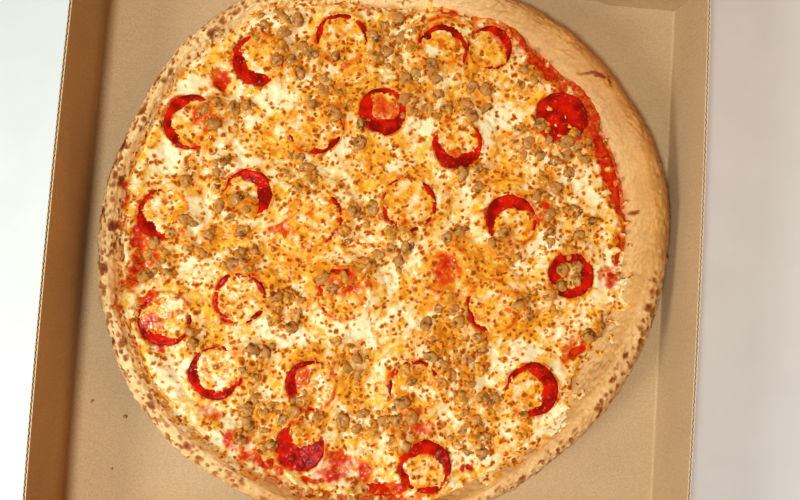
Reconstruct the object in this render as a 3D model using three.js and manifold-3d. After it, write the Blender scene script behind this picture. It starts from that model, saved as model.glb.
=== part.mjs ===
// A pepperoni and sausage pizza in its open corrugated takeaway box. Millimetres, +Z up.
// The origin is the centre of the tray's underside. +Y points at the hinged back wall, +X to the right.
import * as THREE from "three";
import { mergeVertices } from "three/addons/utils/BufferGeometryUtils.js";
import Module from "manifold-3d";

// Box
const BOARD = 1.8; // thickness of the corrugated board
const INSIDE = 358; // inside length of each side of the square tray
const WALL_HEIGHT = 45; // tray walls above the floor board
const WALL_BOW = 2; // how far the middle of a side wall's top edge leans out
const TAB_LENGTH = 62; // end tabs of the side walls, folded in against the back and front walls
const TAB_HEIGHT = 42;
const TAB_CORNER = 24; // radius of a tab's lower free corner
const LID_SIDE_PLAY = 0.6; // between the closed lid's side flaps and the tray walls
const LID_LENGTH = 355.5; // from the hinge crease to the outside of the lid's front flap
const LID_CREASE = 0.5; // from the hinge axis to the lid panel
const LID_FLAP = 38; // depth of the lid's flaps below the panel
const LID_FLAP_CORNER = 15; // radius of the flaps' free corners
const FLAP_ENDS = [12, 50, 310, 345]; // side flap: start, full depth, end of full depth, end
const FRONT_FLAP_HALF = 168; // half the length of the lid's front flap
const LID_OPEN = 110; // degrees from closed, leaning back past upright

// Pizza
const GAP = 0.3; // between pieces that rest on each other
const CENTRE = [4.2, 16.8]; // of the pizza, pushed towards the back of the tray
const CRUST_RADII = [ // outer edge of the crust, every 20 degrees from +X
  171, 174.5, 171.2, 168.7, 162, 160.5, 167, 168.4, 166,
  169.5, 171.6, 174.3, 172, 171, 169, 166, 165.8, 167.8,
];
const RIM_WIDTHS = [ // from the outer edge in to the sauce, at the same angles
  27, 27, 24, 21.5, 20, 19, 19, 17, 14.5, 15.5, 16, 19, 21.5, 18, 15, 20, 25, 28,
];
const RIM_HEIGHT = 22.5; // of the rim over the underside, on average
const RIM_HEIGHT_LEAN = 2; // the rim is this much higher at the right and lower at the left
const RIM_CROWN = 0.47; // place of the rim's highest line, as a share of its width
const RIM_BELLY = 0.42; // height of the rim's widest line, as a share of its height
const RIM_FOOT = 7; // how far the underside's edge lies inside the widest line
const RIM_WAVER = 0.5; // share of the rim's swells that also shows in its outer edge
const RIM_BUBBLES = [ // oven bubbles: angle in degrees, share across the rim, radius, height
  [10, 0.55, 12, 2.2], [48, 0.4, 14, 1.8], [78, 0.6, 12, 2], [112, 0.5, 13, 1.6],
  [141, 0.45, 11, 2.4], [168, 0.35, 12, 2.2], [196, 0.5, 13, 1.8], [229, 0.45, 14, 2.4],
  [262, 0.5, 12, 1.8], [297, 0.5, 13, 2], [331, 0.4, 14, 2.2],
];
const BASE = 8; // thickness of the baked dough under the toppings
const SAUCE = 1; // thickness of the sauce
const CHEESE = 3; // thickness of the cheese
const CHEESE_LUMP = 0.7; // height of the cheese's swells over and under its mean level
const CHEESE_SHORE = 1.5; // least distance from the cheese's edge to the foot of the rim
const SAUCE_SHOWS = [ // where the cheese stops short: angle, half width in degrees, depth
  [36, 42, 8], [186, 26, 6], [262, 22, 4],
];
const SLICE = 1.6; // thickness of a pepperoni slice
const SLICE_CUP = 1.4; // how far a slice's edge has curled up
const SLICES = [ // pepperoni: x, y, radius
  [-32, 135, 16], [-81, 118, 16], [-117, 77, 17], [-129, 21, 15.5], [-81, 37, 15],
  [-40, 26, 16.5], [-4, 93, 15], [-44, 80, 17], [15, 38, 17], [29, 139, 14.5],
  [29, 133, 15.5], [58.5, 138, 14], [42, 76, 15.5], [105, 98, 16.5], [77, 33, 16],
  [116, 2, 14.5], [96, -68, 16.5], [35, -117, 16], [25, -70, 16], [69, -20, 16],
  [40, 0, 15], [-81, -25, 16], [-20, -18, 16], [-123, -40, 16], [-91, -69, 16],
  [-36, -73, 15], [-39, -109, 15],
];
const TOPPED_SLICE = 15; // index of the slice that carries crumbles of its own
const CRUMBLES_ON_SLICE = [[-5, 3], [3.5, 5.5], [3.5, -2.5], [-5, -6]];

// Sausage crumbles lie in handfuls: x, y, spread, count
const HANDFULS = [
  [-68, 132, 15, 9], [-45, 118, 12, 5], [-37, 96, 10, 5], [-98, 86, 14, 5],
  [-18, 80, 7, 2], [-107, 50, 14, 6], [-53, 51, 10, 5], [-85, 24, 12, 5],
  [-12, 24, 13, 4], [-120, 17, 8, 2], [-1, 137, 16, 9], [22, 107, 16, 11],
  [55, 104, 12, 5], [82, 123, 8, 3], [88, 84, 13, 7], [112, 76, 14, 10],
  [52, 56, 11, 3], [100, 53, 10, 4], [114, 30, 16, 8], [76, 16, 9, 5],
  [43, 22, 6, 2], [10, 12, 12, 6], [95, -16, 14, 5], [133, -30, 6, 2],
  [42, -30, 14, 7], [50, -52, 17, 12], [20, -70, 10, 3], [60, -78, 14, 7],
  [62, -97, 12, 6], [90, -90, 7, 2], [16, -96, 14, 7], [-133, -6, 11, 6],
  [-104, 2, 10, 3], [-81, 0, 10, 4], [-18, -10, 16, 5], [-53, -30, 12, 7],
  [-106, -48, 7, 3], [-68, -62, 10, 5], [-12, -54, 12, 6], [-64, -96, 15, 10],
  [-38, -90, 10, 4], [-8, -94, 8, 4], [-8, -133, 5, 1],
];
const CRUMBLE = [3.4, 4.6]; // least and greatest radius of a crumble
const CRUMBLE_FLAT = 0.78; // its height as a share of its width
const CRUMBLE_SUNK = 0.35; // share of its half height that lies under the cheese
const CRUMBLE_ROUGH = 0.18; // how far its corners stray from the round
const CRUMBLE_SPACE = 6.6; // least distance between two crumbles' middles
const SEED = 20;

// Facets
const CRUST_SEGMENTS = 96;
const SAUCE_SEGMENTS = 72;
const CHEESE_SEGMENTS = 60;
const SLICE_SEGMENTS = 14;
const WALL_STATIONS = 8;

const wasm = await Module();
wasm.setup();

const radians = THREE.MathUtils.degToRad;

// ---- Helpers ----

function closedGeometry(points, faces) {
  const geometry = new THREE.BufferGeometry();
  geometry.setAttribute("position", new THREE.Float32BufferAttribute(points, 3));
  geometry.setIndex(faces);
  return geometry;
}

function solidOf(geometry) {
  const bare = geometry.clone();
  bare.deleteAttribute("normal");
  bare.deleteAttribute("uv");
  const merged = mergeVertices(bare, 1e-4);
  return new wasm.Manifold(new wasm.Mesh({
    numProp: 3,
    vertProperties: merged.attributes.position.array,
    triVerts: new Uint32Array(merged.index.array),
  }));
}

function joined(geometries) {
  const solid = geometries.map(solidOf).reduce((whole, piece) => whole.add(piece));
  const mesh = solid.getMesh();
  return closedGeometry(mesh.vertProperties, Array.from(mesh.triVerts));
}

function piece(name, geometry, material) {
  geometry.computeVertexNormals();
  const mesh = new THREE.Mesh(geometry, material);
  mesh.name = name;
  return mesh;
}

// Numbers from 0 to 1 that are the same each time.
function seeded(seed) {
  let state = seed;
  return () => {
    state = (Math.imul(state, 1664525) + 1013904223) >>> 0;
    return state / 2 ** 32;
  };
}

// A smooth closed curve through values that stand at even steps of angle, the first at +X.
function around(values, angle) {
  const turns = angle / (2 * Math.PI);
  const place = (turns - Math.floor(turns)) * values.length;
  const step = Math.floor(place);
  const f = place - step;
  const [a, b, c, d] = [-1, 0, 1, 2].map((k) => values[(step + k + values.length) % values.length]);
  return b + 0.5 * f * (c - a + f * (2 * a - 5 * b + 4 * c - d + f * (3 * (b - c) + d - a)));
}

// A closed solid round an upright axis. profileAt(angle) lists [radius, z] from the underside, round
// the edge and in over the top; two middle points close it.
function polarSolid([x, y], segments, profileAt, bottomZ, topZ) {
  const points = [];
  const faces = [];
  const rings = profileAt(0).length;
  const bottom = segments * rings;
  for (let i = 0; i < segments; i += 1) {
    const angle = (i / segments) * 2 * Math.PI;
    for (const [r, z] of profileAt(angle)) {
      points.push(x + r * Math.cos(angle), y + r * Math.sin(angle), z);
    }
    const here = i * rings;
    const next = ((i + 1) % segments) * rings;
    faces.push(bottom, next, here);
    for (let k = 0; k + 1 < rings; k += 1) {
      faces.push(here + k, next + k, next + k + 1);
      faces.push(here + k, next + k + 1, here + k + 1);
    }
    faces.push(here + rings - 1, next + rings - 1, bottom + 1);
  }
  points.push(x, y, bottomZ, x, y, topZ);
  return closedGeometry(points, faces);
}

// A flat board cut to an outline of [u, v] points, which lies in the XY plane.
function board(outline, thickness = BOARD) {
  const shape = new THREE.Shape(outline.map(([u, v]) => new THREE.Vector2(u, v)));
  return new THREE.ExtrudeGeometry(shape, { depth: thickness, bevelEnabled: false });
}

// Points of a rounded corner, between two angles in quarter turns.
function corner(u, v, radius, from, to) {
  return [0, 1, 2, 3, 4].map((i) => {
    const angle = ((from + ((to - from) * i) / 4) * Math.PI) / 2;
    return [u + radius * Math.cos(angle), v + radius * Math.sin(angle)];
  });
}

// Height of the top surface of some meshes over a point.
function surfaceOver(meshes, x, y) {
  const ray = new THREE.Raycaster(new THREE.Vector3(x, y, 200), new THREE.Vector3(0, 0, -1));
  const hit = ray.intersectObjects(meshes)[0];
  return hit ? hit.point.z : -Infinity;
}

// ---- Box ----

const kraft = new THREE.MeshStandardMaterial({ color: 0xc39a6b, roughness: 0.9, metalness: 0 });
const inner = INSIDE / 2;
const outer = inner + BOARD;
const wallTop = BOARD + WALL_HEIGHT;

// A wall of the tray along Y. Its foot is straight and its top edge bows outwards.
function sideWall(side) {
  const points = [];
  const faces = [];
  for (let i = 0; i <= WALL_STATIONS; i += 1) {
    const y = outer * ((2 * i) / WALL_STATIONS - 1);
    const bow = WALL_BOW * (1 - (y / outer) ** 2);
    points.push(inner, y, 0, outer, y, 0, outer + bow, y, wallTop, inner + bow, y, wallTop);
    for (let k = 0; k < 4 && i > 0; k += 1) {
      const a = 4 * i + k;
      const b = 4 * i + ((k + 1) % 4);
      faces.push(a - 4, b, b - 4, a - 4, a, b);
    }
  }
  const last = 4 * WALL_STATIONS;
  faces.push(0, 1, 2, 0, 2, 3, last, last + 2, last + 1, last, last + 3, last + 2);
  const wall = closedGeometry(points, faces);
  return side > 0 ? wall : wall.rotateZ(Math.PI);
}

function crossWall(side) {
  const wall = new THREE.BoxGeometry(2 * outer, BOARD, wallTop);
  return wall.translate(0, side * (inner + BOARD / 2), wallTop / 2);
}

// A side wall's end tab, folded in against the back or front wall and pressed a little into it.
function endTab(sideX, sideY) {
  const root = inner + BOARD / 2;
  const tip = inner - TAB_LENGTH;
  const foot = BOARD / 2;
  const outline = [
    [root, foot],
    [root, TAB_HEIGHT],
    [tip, TAB_HEIGHT],
    ...corner(tip + TAB_CORNER, foot + TAB_CORNER, TAB_CORNER, 2, 3),
  ].map(([u, v]) => [sideX * u, v]);
  const pressed = BOARD / 4;
  const tab = board(outline, BOARD + pressed).rotateX(Math.PI / 2);
  return tab.translate(0, sideY > 0 ? inner + pressed : BOARD - inner, 0);
}

function tray() {
  const floor = new THREE.BoxGeometry(2 * outer, 2 * outer, BOARD).translate(0, 0, BOARD / 2);
  const sides = [-1, 1];
  return joined([
    floor,
    ...sides.map(crossWall),
    ...sides.map(sideWall),
    ...sides.flatMap((x) => sides.map((y) => endTab(x, y))),
  ]);
}

// The lid, shut: its hinge axis is the local X axis and it reaches along -Y.
function lid() {
  const half = inner - LID_SIDE_PLAY;
  const length = LID_LENGTH - LID_CREASE;
  const panel = new THREE.BoxGeometry(2 * half, length, BOARD);
  panel.translate(0, -LID_CREASE - length / 2, BOARD / 2);
  const root = BOARD / 2;
  const low = LID_FLAP_CORNER - LID_FLAP;
  const [start, full, fullEnd, end] = FLAP_ENDS;
  const sideOutline = [
    [-start, root],
    ...corner(-full, low, LID_FLAP_CORNER, 0.5, -1),
    ...corner(-fullEnd, low, LID_FLAP_CORNER, -1, -2.5),
    [-end, root],
  ];
  const sideFlaps = [half - BOARD, -half].map((x) => (
    board(sideOutline).rotateX(Math.PI / 2).rotateZ(Math.PI / 2).translate(x, 0, 0)
  ));
  const frontCorner = FRONT_FLAP_HALF - LID_FLAP_CORNER;
  const frontOutline = [
    [-FRONT_FLAP_HALF, root],
    ...corner(-frontCorner, low, LID_FLAP_CORNER, 2, 3),
    ...corner(frontCorner, low, LID_FLAP_CORNER, 3, 4),
    [FRONT_FLAP_HALF, root],
  ];
  const frontFlap = board(frontOutline).rotateX(Math.PI / 2).translate(0, BOARD - LID_LENGTH, 0);
  return joined([panel, ...sideFlaps, frontFlap]);
}

// ---- Crust ----

const outerEdge = (angle) => around(CRUST_RADII, angle);
const rimFoot = (angle) => outerEdge(angle) - around(RIM_WIDTHS, angle);

// How much the rim swells at a place on it, share 0 being its outer edge and 1 its foot.
function rimSwell(angle, share) {
  let swell = 0.5 * Math.sin(9 * angle + 4 * share) + 0.4 * Math.sin(17 * angle - 3 * share + 1);
  for (const [degrees, across, radius, height] of RIM_BUBBLES) {
    const turn = Math.atan2(Math.sin(angle - radians(degrees)), Math.cos(angle - radians(degrees)));
    const along = turn * outerEdge(angle);
    const over = (share - across) * around(RIM_WIDTHS, angle);
    swell += height * Math.exp(-(along ** 2 + over ** 2) / radius ** 2);
  }
  return swell;
}

function crustProfile(angle) {
  const edge = outerEdge(angle);
  const width = around(RIM_WIDTHS, angle);
  const crown = edge - RIM_CROWN * width;
  const height = RIM_HEIGHT + RIM_HEIGHT_LEAN * Math.cos(angle);
  const belly = RIM_BELLY * height;
  const profile = [[edge - RIM_FOOT, 0]];
  for (const lift of [-0.66, -0.1, 0.4, 0.8]) {
    const r = crown + (edge - crown) * (1 - lift ** 2) ** 0.4;
    const z = belly + lift * (lift < 0 ? belly : height - belly);
    profile.push([r + RIM_WAVER * Math.min(1, rimSwell(angle, 0)), z]);
  }
  for (const slope of [0, 0.3, 0.55, 0.8, 1]) {
    const share = RIM_CROWN + slope * (1 - RIM_CROWN);
    const fall = 0.5 - 0.5 * Math.cos(Math.PI * slope);
    const swell = rimSwell(angle, share) * (1 - fall);
    profile.push([edge - share * width, height - fall * (height - BASE) + swell]);
  }
  return profile;
}

// ---- Toppings ----

const sauceZ = BASE + GAP;
const cheeseZ = sauceZ + SAUCE + GAP;
const cheeseTop = cheeseZ + CHEESE;

function sauceProfile(angle) {
  const r = rimFoot(angle) - GAP - 0.6 * (1 + Math.sin(13 * angle) * Math.sin(5 * angle));
  return [[r, sauceZ], [r, sauceZ + SAUCE]];
}

function cheeseEdge(angle) {
  let short = CHEESE_SHORE + 0.9 * (1 + Math.sin(14 * angle + 1) * Math.cos(5 * angle));
  for (const [degrees, half, depth] of SAUCE_SHOWS) {
    const turn = Math.atan2(Math.sin(angle - radians(degrees)), Math.cos(angle - radians(degrees)));
    const off = Math.min(1, Math.abs(turn) / radians(half));
    short += depth * (1 - off ** 4);
  }
  return rimFoot(angle) - short;
}

function cheeseSwell(x, y) {
  return CHEESE_LUMP * Math.sin(x / 8 + 1.6 * Math.sin(y / 21)) * Math.cos(y / 9 + x / 31);
}

function cheeseProfile(angle) {
  const edge = cheeseEdge(angle);
  const shoulder = edge - CHEESE / 2;
  const profile = [[edge - 1, cheeseZ], [edge, cheeseZ + CHEESE / 3]];
  for (const share of [1, 0.87, 0.72, 0.57, 0.42, 0.27, 0.13]) {
    const r = share * shoulder;
    const swell = cheeseSwell(r * Math.cos(angle), r * Math.sin(angle));
    profile.push([r, cheeseTop + (share < 1 ? swell : -CHEESE / 4)]);
  }
  return profile;
}

// Middle and radius of each crumble in the handfuls, no two too close to lie side by side.
function crumblePlaces() {
  const random = seeded(SEED);
  const places = [];
  for (const [x, y, spread, count] of HANDFULS) {
    for (let i = 0; i < count; i += 1) {
      for (let attempt = 0; attempt < 30; attempt += 1) {
        const angle = 2 * Math.PI * random();
        const away = spread * Math.sqrt(random());
        const radius = CRUMBLE[0] + (CRUMBLE[1] - CRUMBLE[0]) * random();
        const place = [x + away * Math.cos(angle), y + away * Math.sin(angle), radius];
        if (places.every(([u, v]) => Math.hypot(place[0] - u, place[1] - v) > CRUMBLE_SPACE)) {
          places.push(place);
          break;
        }
      }
    }
  }
  return places;
}

// A rough crumble of sausage, its middle a little over the surface that it has sunk into.
function crumble(x, y, surface, radius, random) {
  const ball = new THREE.IcosahedronGeometry(radius, 0);
  ball.deleteAttribute("normal");
  ball.deleteAttribute("uv");
  const rough = mergeVertices(ball);
  const corners = rough.attributes.position;
  const corner3 = new THREE.Vector3();
  for (let i = 0; i < corners.count; i += 1) {
    corner3.fromBufferAttribute(corners, i).multiplyScalar(1 + CRUMBLE_ROUGH * (2 * random() - 1));
    corners.setXYZ(i, corner3.x, corner3.y, corner3.z);
  }
  rough.rotateX(2 * Math.PI * random()).rotateZ(2 * Math.PI * random());
  rough.scale(1, 1, CRUMBLE_FLAT);
  const half = radius * CRUMBLE_FLAT;
  return rough.translate(x, y, surface + half * (1 - 2 * CRUMBLE_SUNK));
}

function cheeseAndSausage() {
  const bare = polarSolid(CENTRE, CHEESE_SEGMENTS, cheeseProfile, cheeseZ, cheeseTop);
  const ground = [new THREE.Mesh(bare)];
  const random = seeded(SEED + 1);
  const crumbles = crumblePlaces()
    .filter(([x, y, radius]) => SLICES.every(([u, v, slice]) => (
      Math.hypot(x - u, y - v) > slice + radius * (1 + CRUMBLE_ROUGH) + GAP
    )))
    .map(([x, y, radius]) => [x, y, surfaceOver(ground, x, y), radius])
    .filter(([, , surface]) => surface > cheeseTop - CHEESE)
    .map((place) => crumble(...place, random));
  return joined([bare, ...crumbles]);
}

// A thin slice whose edge has curled up, more on one side.
function slice(radius, lean) {
  const curl = (angle) => SLICE_CUP * (1 + 0.3 * Math.cos(angle - lean));
  const profile = (angle) => [
    [radius, curl(angle)],
    [radius - 0.3, curl(angle) + SLICE],
    [0.65 * radius, 0.3 * curl(angle) + SLICE],
  ];
  return polarSolid([0, 0], SLICE_SEGMENTS, profile, 0, SLICE);
}

// The slices, each set down on what lies under it.
function slices(ground, material) {
  const laid = [];
  const random = seeded(SEED + 2);
  SLICES.forEach(([x, y, radius], i) => {
    const lean = 2 * Math.PI * random();
    const thin = slice(radius, lean);
    const under = [...ground, ...laid];
    let rest = 0;
    for (let k = 0; k < 72; k += 1) {
      const share = (1 + (k % 3)) / 3;
      const angle = (k / 72) * 2 * Math.PI;
      const at = [x + share * radius * Math.cos(angle), y + share * radius * Math.sin(angle)];
      rest = Math.max(rest, surfaceOver(under, ...at) - 0.7 * share * SLICE_CUP);
    }
    const parts = i === TOPPED_SLICE
      ? [thin, ...CRUMBLES_ON_SLICE.map(([u, v]) => crumble(u, v, SLICE, CRUMBLE[0], random))]
      : [thin];
    const mesh = piece(`pepperoni_${String(i + 1).padStart(2, "0")}`, joined(parts), material);
    mesh.position.set(x, y, rest + GAP);
    mesh.updateMatrixWorld();
    laid.push(mesh);
  });
  return laid;
}

// ---- Assembly ----

const pizza = new THREE.Group();
pizza.position.z = BOARD + GAP;
const dough = new THREE.MeshStandardMaterial({ color: 0xd9a866, roughness: 0.75, metalness: 0 });
const tomato = new THREE.MeshStandardMaterial({ color: 0xc4301c, roughness: 0.35, metalness: 0 });
const melted = new THREE.MeshStandardMaterial({ color: 0xeec66a, roughness: 0.4, metalness: 0 });
const cured = new THREE.MeshStandardMaterial({ color: 0xb3261b, roughness: 0.35, metalness: 0 });

const crust = polarSolid(CENTRE, CRUST_SEGMENTS, crustProfile, 0, BASE);
const sauce = polarSolid(CENTRE, SAUCE_SEGMENTS, sauceProfile, sauceZ, sauceZ + SAUCE);
const cheese = piece("cheese", cheeseAndSausage(), melted);
pizza.add(piece("crust", crust, dough), piece("sauce", sauce, tomato), cheese);
pizza.add(...slices([cheese], cured));

const hinge = new THREE.Group();
hinge.position.set(0, outer, wallTop + GAP);
hinge.rotation.x = -radians(LID_OPEN);
hinge.add(piece("lid", lid(), kraft));

const box = new THREE.Group();
box.add(piece("tray", tray(), kraft), hinge, pizza);
export default box;
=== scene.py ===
"""Pepperoni and sausage pizza in an open corrugated box: its pieces, finishes and stage."""

import itertools
import math

import bpy
import numpy as np
from mathutils import Matrix, Vector


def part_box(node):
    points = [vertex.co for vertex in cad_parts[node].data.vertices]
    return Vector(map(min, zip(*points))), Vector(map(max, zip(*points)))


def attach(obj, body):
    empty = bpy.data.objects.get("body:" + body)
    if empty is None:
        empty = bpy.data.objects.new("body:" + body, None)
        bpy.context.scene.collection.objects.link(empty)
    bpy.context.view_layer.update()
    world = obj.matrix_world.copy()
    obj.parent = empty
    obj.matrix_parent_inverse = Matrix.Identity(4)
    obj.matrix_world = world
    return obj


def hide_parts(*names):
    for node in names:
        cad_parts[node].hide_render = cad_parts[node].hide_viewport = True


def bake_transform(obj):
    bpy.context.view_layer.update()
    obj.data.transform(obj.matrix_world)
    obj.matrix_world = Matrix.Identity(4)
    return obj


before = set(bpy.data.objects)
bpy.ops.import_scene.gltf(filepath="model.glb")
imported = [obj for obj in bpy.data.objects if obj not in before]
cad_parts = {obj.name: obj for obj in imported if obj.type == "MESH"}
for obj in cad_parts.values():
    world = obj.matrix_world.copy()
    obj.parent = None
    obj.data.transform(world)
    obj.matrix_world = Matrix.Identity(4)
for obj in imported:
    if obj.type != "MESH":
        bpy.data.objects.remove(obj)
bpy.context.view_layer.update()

bl_info = {
    "name": "Boxed pizza",
    "version": (1, 0, 0),
    "blender": (4, 5, 0),
    "location": "View3D > Sidebar > Pizza",
    "description": "Builds a pizza and its corrugated box round a fixed frame",
    "category": "Object",
}

MM = 0.001

# ---- Sizes, in millimetres, the same as the solids' ----

BOARD = 1.8
FOLD = 1.5  # inside radius of a folded edge
FOLD_ARC = (FOLD + BOARD / 2) * np.pi / 2
FOLD_SHARE = 0.1  # share of a flap's lines that go round its fold
CUT_SHARE = 0.006  # share of a wall's height that the knife's cut colours
MIDDLE_HALF = 0.1  # half the thickness of the waved sheet
CARD_PLAY = 0.1  # between sheets that touch
FLAP_PLAY = 0.4  # between a flap's ends and its neighbours
INNER = 179.0
OUTER = INNER + BOARD
WALL_TOP = 46.8
WALL_BOW = 2.0
TAB_LENGTH = 62.0
TAB_TOP = 42.0
TAB_CORNER = 24.0
GAP = 0.3
LID_HALF = INNER - 0.6
LID_LENGTH = 355.5
LID_CREASE = 0.5
LID_FLAP = 38.0
FLAP_CORNER = 15.0
FLAP_ENDS = (12.0, 50.0, 310.0, 345.0)
FRONT_FLAP_HALF = 168.0
LID_OPEN = math.radians(110)
HINGE = (0.0, OUTER, WALL_TOP + GAP)

CENTRE = (4.2, 16.8)
# Radius of the dough's outline and width of its rim, at even steps of angle from +X
CRUST_RADII = (171, 174.5, 171.2, 168.7, 162, 160.5, 167, 168.4, 166,
               169.5, 171.6, 174.3, 172, 171, 169, 166, 165.8, 167.8)
RIM_WIDTHS = (27, 27, 24, 21.5, 20, 19, 19, 17, 14.5, 15.5, 16, 19, 21.5, 18, 15, 20, 25, 28)
RIM_HEIGHT = 22.5  # above the underside, RIM_HEIGHT_LEAN more at the right and less at the left
RIM_HEIGHT_LEAN = 2.0
RIM_CROWN = 0.47  # where the highest line lies, as a share of the width from the outer edge
RIM_BELLY = 0.42  # where the outline is widest, as a share of the height
RIM_WAVER = 0.5
# Bubbles of the rim: angle in degrees, share of the width, radius and height
RIM_BUBBLES = (
    (10, 0.55, 12, 2.2), (48, 0.4, 14, 1.8), (78, 0.6, 12, 2), (112, 0.5, 13, 1.6),
    (141, 0.45, 11, 2.4), (168, 0.35, 12, 2.2), (196, 0.5, 13, 1.8), (229, 0.45, 14, 2.4),
    (262, 0.5, 12, 1.8), (297, 0.5, 13, 2), (331, 0.4, 14, 2.2),
)
RIM_LINE = 165  # radius of the rim's middle line
# Lines of the dough's mesh: round the pizza, up the rim's outside and down its inside
SEGMENTS, OUTER_RINGS, INNER_RINGS = 880, 56, 36
CENTRE_HOLE = 0.02
# Cuts across the grids of the other pieces
CHEESE_CUTS, SAUCE_CUTS, SLICE_CUTS = 300, 170, 28
CRUMBLE_CUTS, BIT_CUTS, CRUMB_CUTS = 8, 5, 4
# Blisters of the rim's skin: spacing, least and most radius, seed
BLISTERS = ((7.0, 1.2, 2.8, 3), (4.2, 0.6, 1.4, 4), (2.4, 0.25, 0.55, 6))
FINE_BLISTER = 3.0
BASE = 8.0
DOUGH_Z = BOARD + GAP
SAUCE_Z = DOUGH_Z + BASE + GAP
SAUCE_TOP = SAUCE_Z + 1.0
# Bands where the sauce shows: angle and half width in degrees, depth
SAUCE_SHOWS = ((36, 42, 8), (186, 26, 6), (262, 22, 4))
SLICE = 1.6
SLICE_CUP = 1.4
# Handfuls of sausage: x, y, spread, number of crumbles
HANDFULS = (
    (-68, 132, 15, 9), (-45, 118, 12, 5), (-37, 96, 10, 5), (-98, 86, 14, 5),
    (-18, 80, 7, 2), (-107, 50, 14, 6), (-53, 51, 10, 5), (-85, 24, 12, 5),
    (-12, 24, 13, 4), (-120, 17, 8, 2), (-1, 137, 16, 9), (22, 107, 16, 11),
    (55, 104, 12, 5), (82, 123, 8, 3), (88, 84, 13, 7), (112, 76, 14, 10),
    (52, 56, 11, 3), (100, 53, 10, 4), (114, 30, 16, 8), (76, 16, 9, 5),
    (43, 22, 6, 2), (10, 12, 12, 6), (95, -16, 14, 5), (133, -30, 6, 2),
    (42, -30, 14, 7), (50, -52, 17, 12), (20, -70, 10, 3), (60, -78, 14, 7),
    (62, -97, 12, 6), (90, -90, 7, 2), (16, -96, 14, 7), (-133, -6, 11, 6),
    (-104, 2, 10, 3), (-81, 0, 10, 4), (-18, -10, 16, 5), (-53, -30, 12, 7),
    (-106, -48, 7, 3), (-68, -62, 10, 5), (-12, -54, 12, 6), (-64, -96, 15, 10),
    (-38, -90, 10, 4), (-8, -94, 8, 4), (-8, -133, 5, 1),
)
CRUMBLE = (3.4, 4.6)
CRUMBLE_FLAT = 0.78
CRUMBLE_SPACE = 6.6
CRUMBLE_SHRINK = 0.94  # leaves room for a crumble's lumps
CRUMBLE_TRIES = 30
CRUMBLE_DRAWS = 14  # numbers that the solids' rule draws for a crumble on a slice
SEED = 20
NOISE_GAIN = 1.6  # brings the noise's range to about -1 to 1

# How the melted cheese lies on each slice: radius as a share of the slice's, the way it has run in
# degrees and how far. A share of 0 leaves the slice bare.
CHEESE_ON_SLICES = (
    (0.95, -90, 3), (0.85, 45, 4), (0.85, 0, 3), (0.87, 50, 3.5), (0.8, -135, 4),
    (0.97, 180, 2), (0.62, 90, 4), (1.0, 135, 2.5), (0.9, 0, 0), (0, 0, 0),
    (0.93, -90, 3.5), (0.88, -135, 3), (0.82, 90, 6), (0, 0, 0), (0.78, -60, 5),
    (0.5, 0, 0), (0.75, -150, 5), (0.74, -90, 2), (0.93, -80, 2.5), (0.98, 45, 1.5),
    (1.1, 0, 0), (0.9, 0, 0), (0.95, -45, 2), (0.9, 80, 3), (0.85, 45, 3.5),
    (0.9, 0, 4), (0.6, 75, 8),
)
TOPPED_SLICE = 15
CRUMBLES_ON_SLICE = ((-5, 3), (3.5, 5.5), (3.5, -2.5), (-5, -6))

# Patches on the cheese: x, y, half length, half width, turn in degrees
BARE_PATCHES = (
    (124, 96, 15, 3, -58), (133, 78, 10, 4, -70), (144, 52, 12, 3.5, -80), (80, 140, 14, 3, -35),
    (-143, 8, 10, 4, 80), (-142, -14, 12, 5, 75), (-134, -29, 9, 4, 50), (-100, 104, 7, 4, 60),
    (-20, 154, 7, 2.5, 0), (32, 157, 12, 2.5, -5), (-58, -120, 14, 4, -25), (-31, -128, 8, 3, 0),
    (14, -130, 15, 5, 2), (-105, -71, 5, 3, -40), (143, 2, 6, 3.5, 80), (124, -44, 8, 3.5, 50),
    (61, -116, 6, 2.5, 0), (27, -86, 5, 2, 0), (-124, -56, 6, 3, 30),
)
RED_PATCHES = (
    (128, 88, 22, 8, -60), (-138, -5, 26, 9, 80), (-130, -44, 11, 8, 40), (40, 0, 13, 13, 0),
    (42, 66, 14, 8, 0), (-20, -12, 12, 10, 0), (-4, 92, 14, 12, 0), (-42, -68, 8, 12, 0),
    (-15, -120, 26, 12, -10), (-92, -92, 10, 6, -30), (140, 3, 10, 9, 0), (120, -42, 12, 8, 50),
    (-103, 105, 9, 8, 60), (-60, 18, 8, 5, 0), (-72, -110, 18, 8, -35), (95, 40, 10, 8, 0),
    (30, -95, 16, 6, 0), (70, 142, 18, 7, -30), (-110, 80, 10, 12, 0),
)
PALE_PATCHES = (
    (-130, 55, 8, 10, 0), (-123, 92, 12, 7, 50), (-110, -69, 8, 8, 0), (-78, -106, 10, 6, -30),
    (-18, -122, 16, 8, 0), (140, 4, 12, 12, 0), (55, 84, 9, 14, 0), (92, -45, 10, 6, 0),
    (-90, 52, 14, 5, 20), (-55, -44, 18, 6, -15), (-12, -38, 14, 6, 20), (118, 60, 16, 8, -40),
    (-112, 24, 12, 8, 40), (30, -55, 8, 5, 0), (-30, 70, 10, 6, 0), (72, 96, 12, 8, 0),
    (-70, 96, 16, 6, 15), (60, -110, 16, 6, 0), (8, 62, 10, 6, 30), (-118, -72, 12, 5, -50),
    (100, 20, 14, 6, 30), (-75, 140, 16, 6, 30), (20, 85, 12, 6, 0), (112, -84, 12, 8, 40),
)
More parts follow.
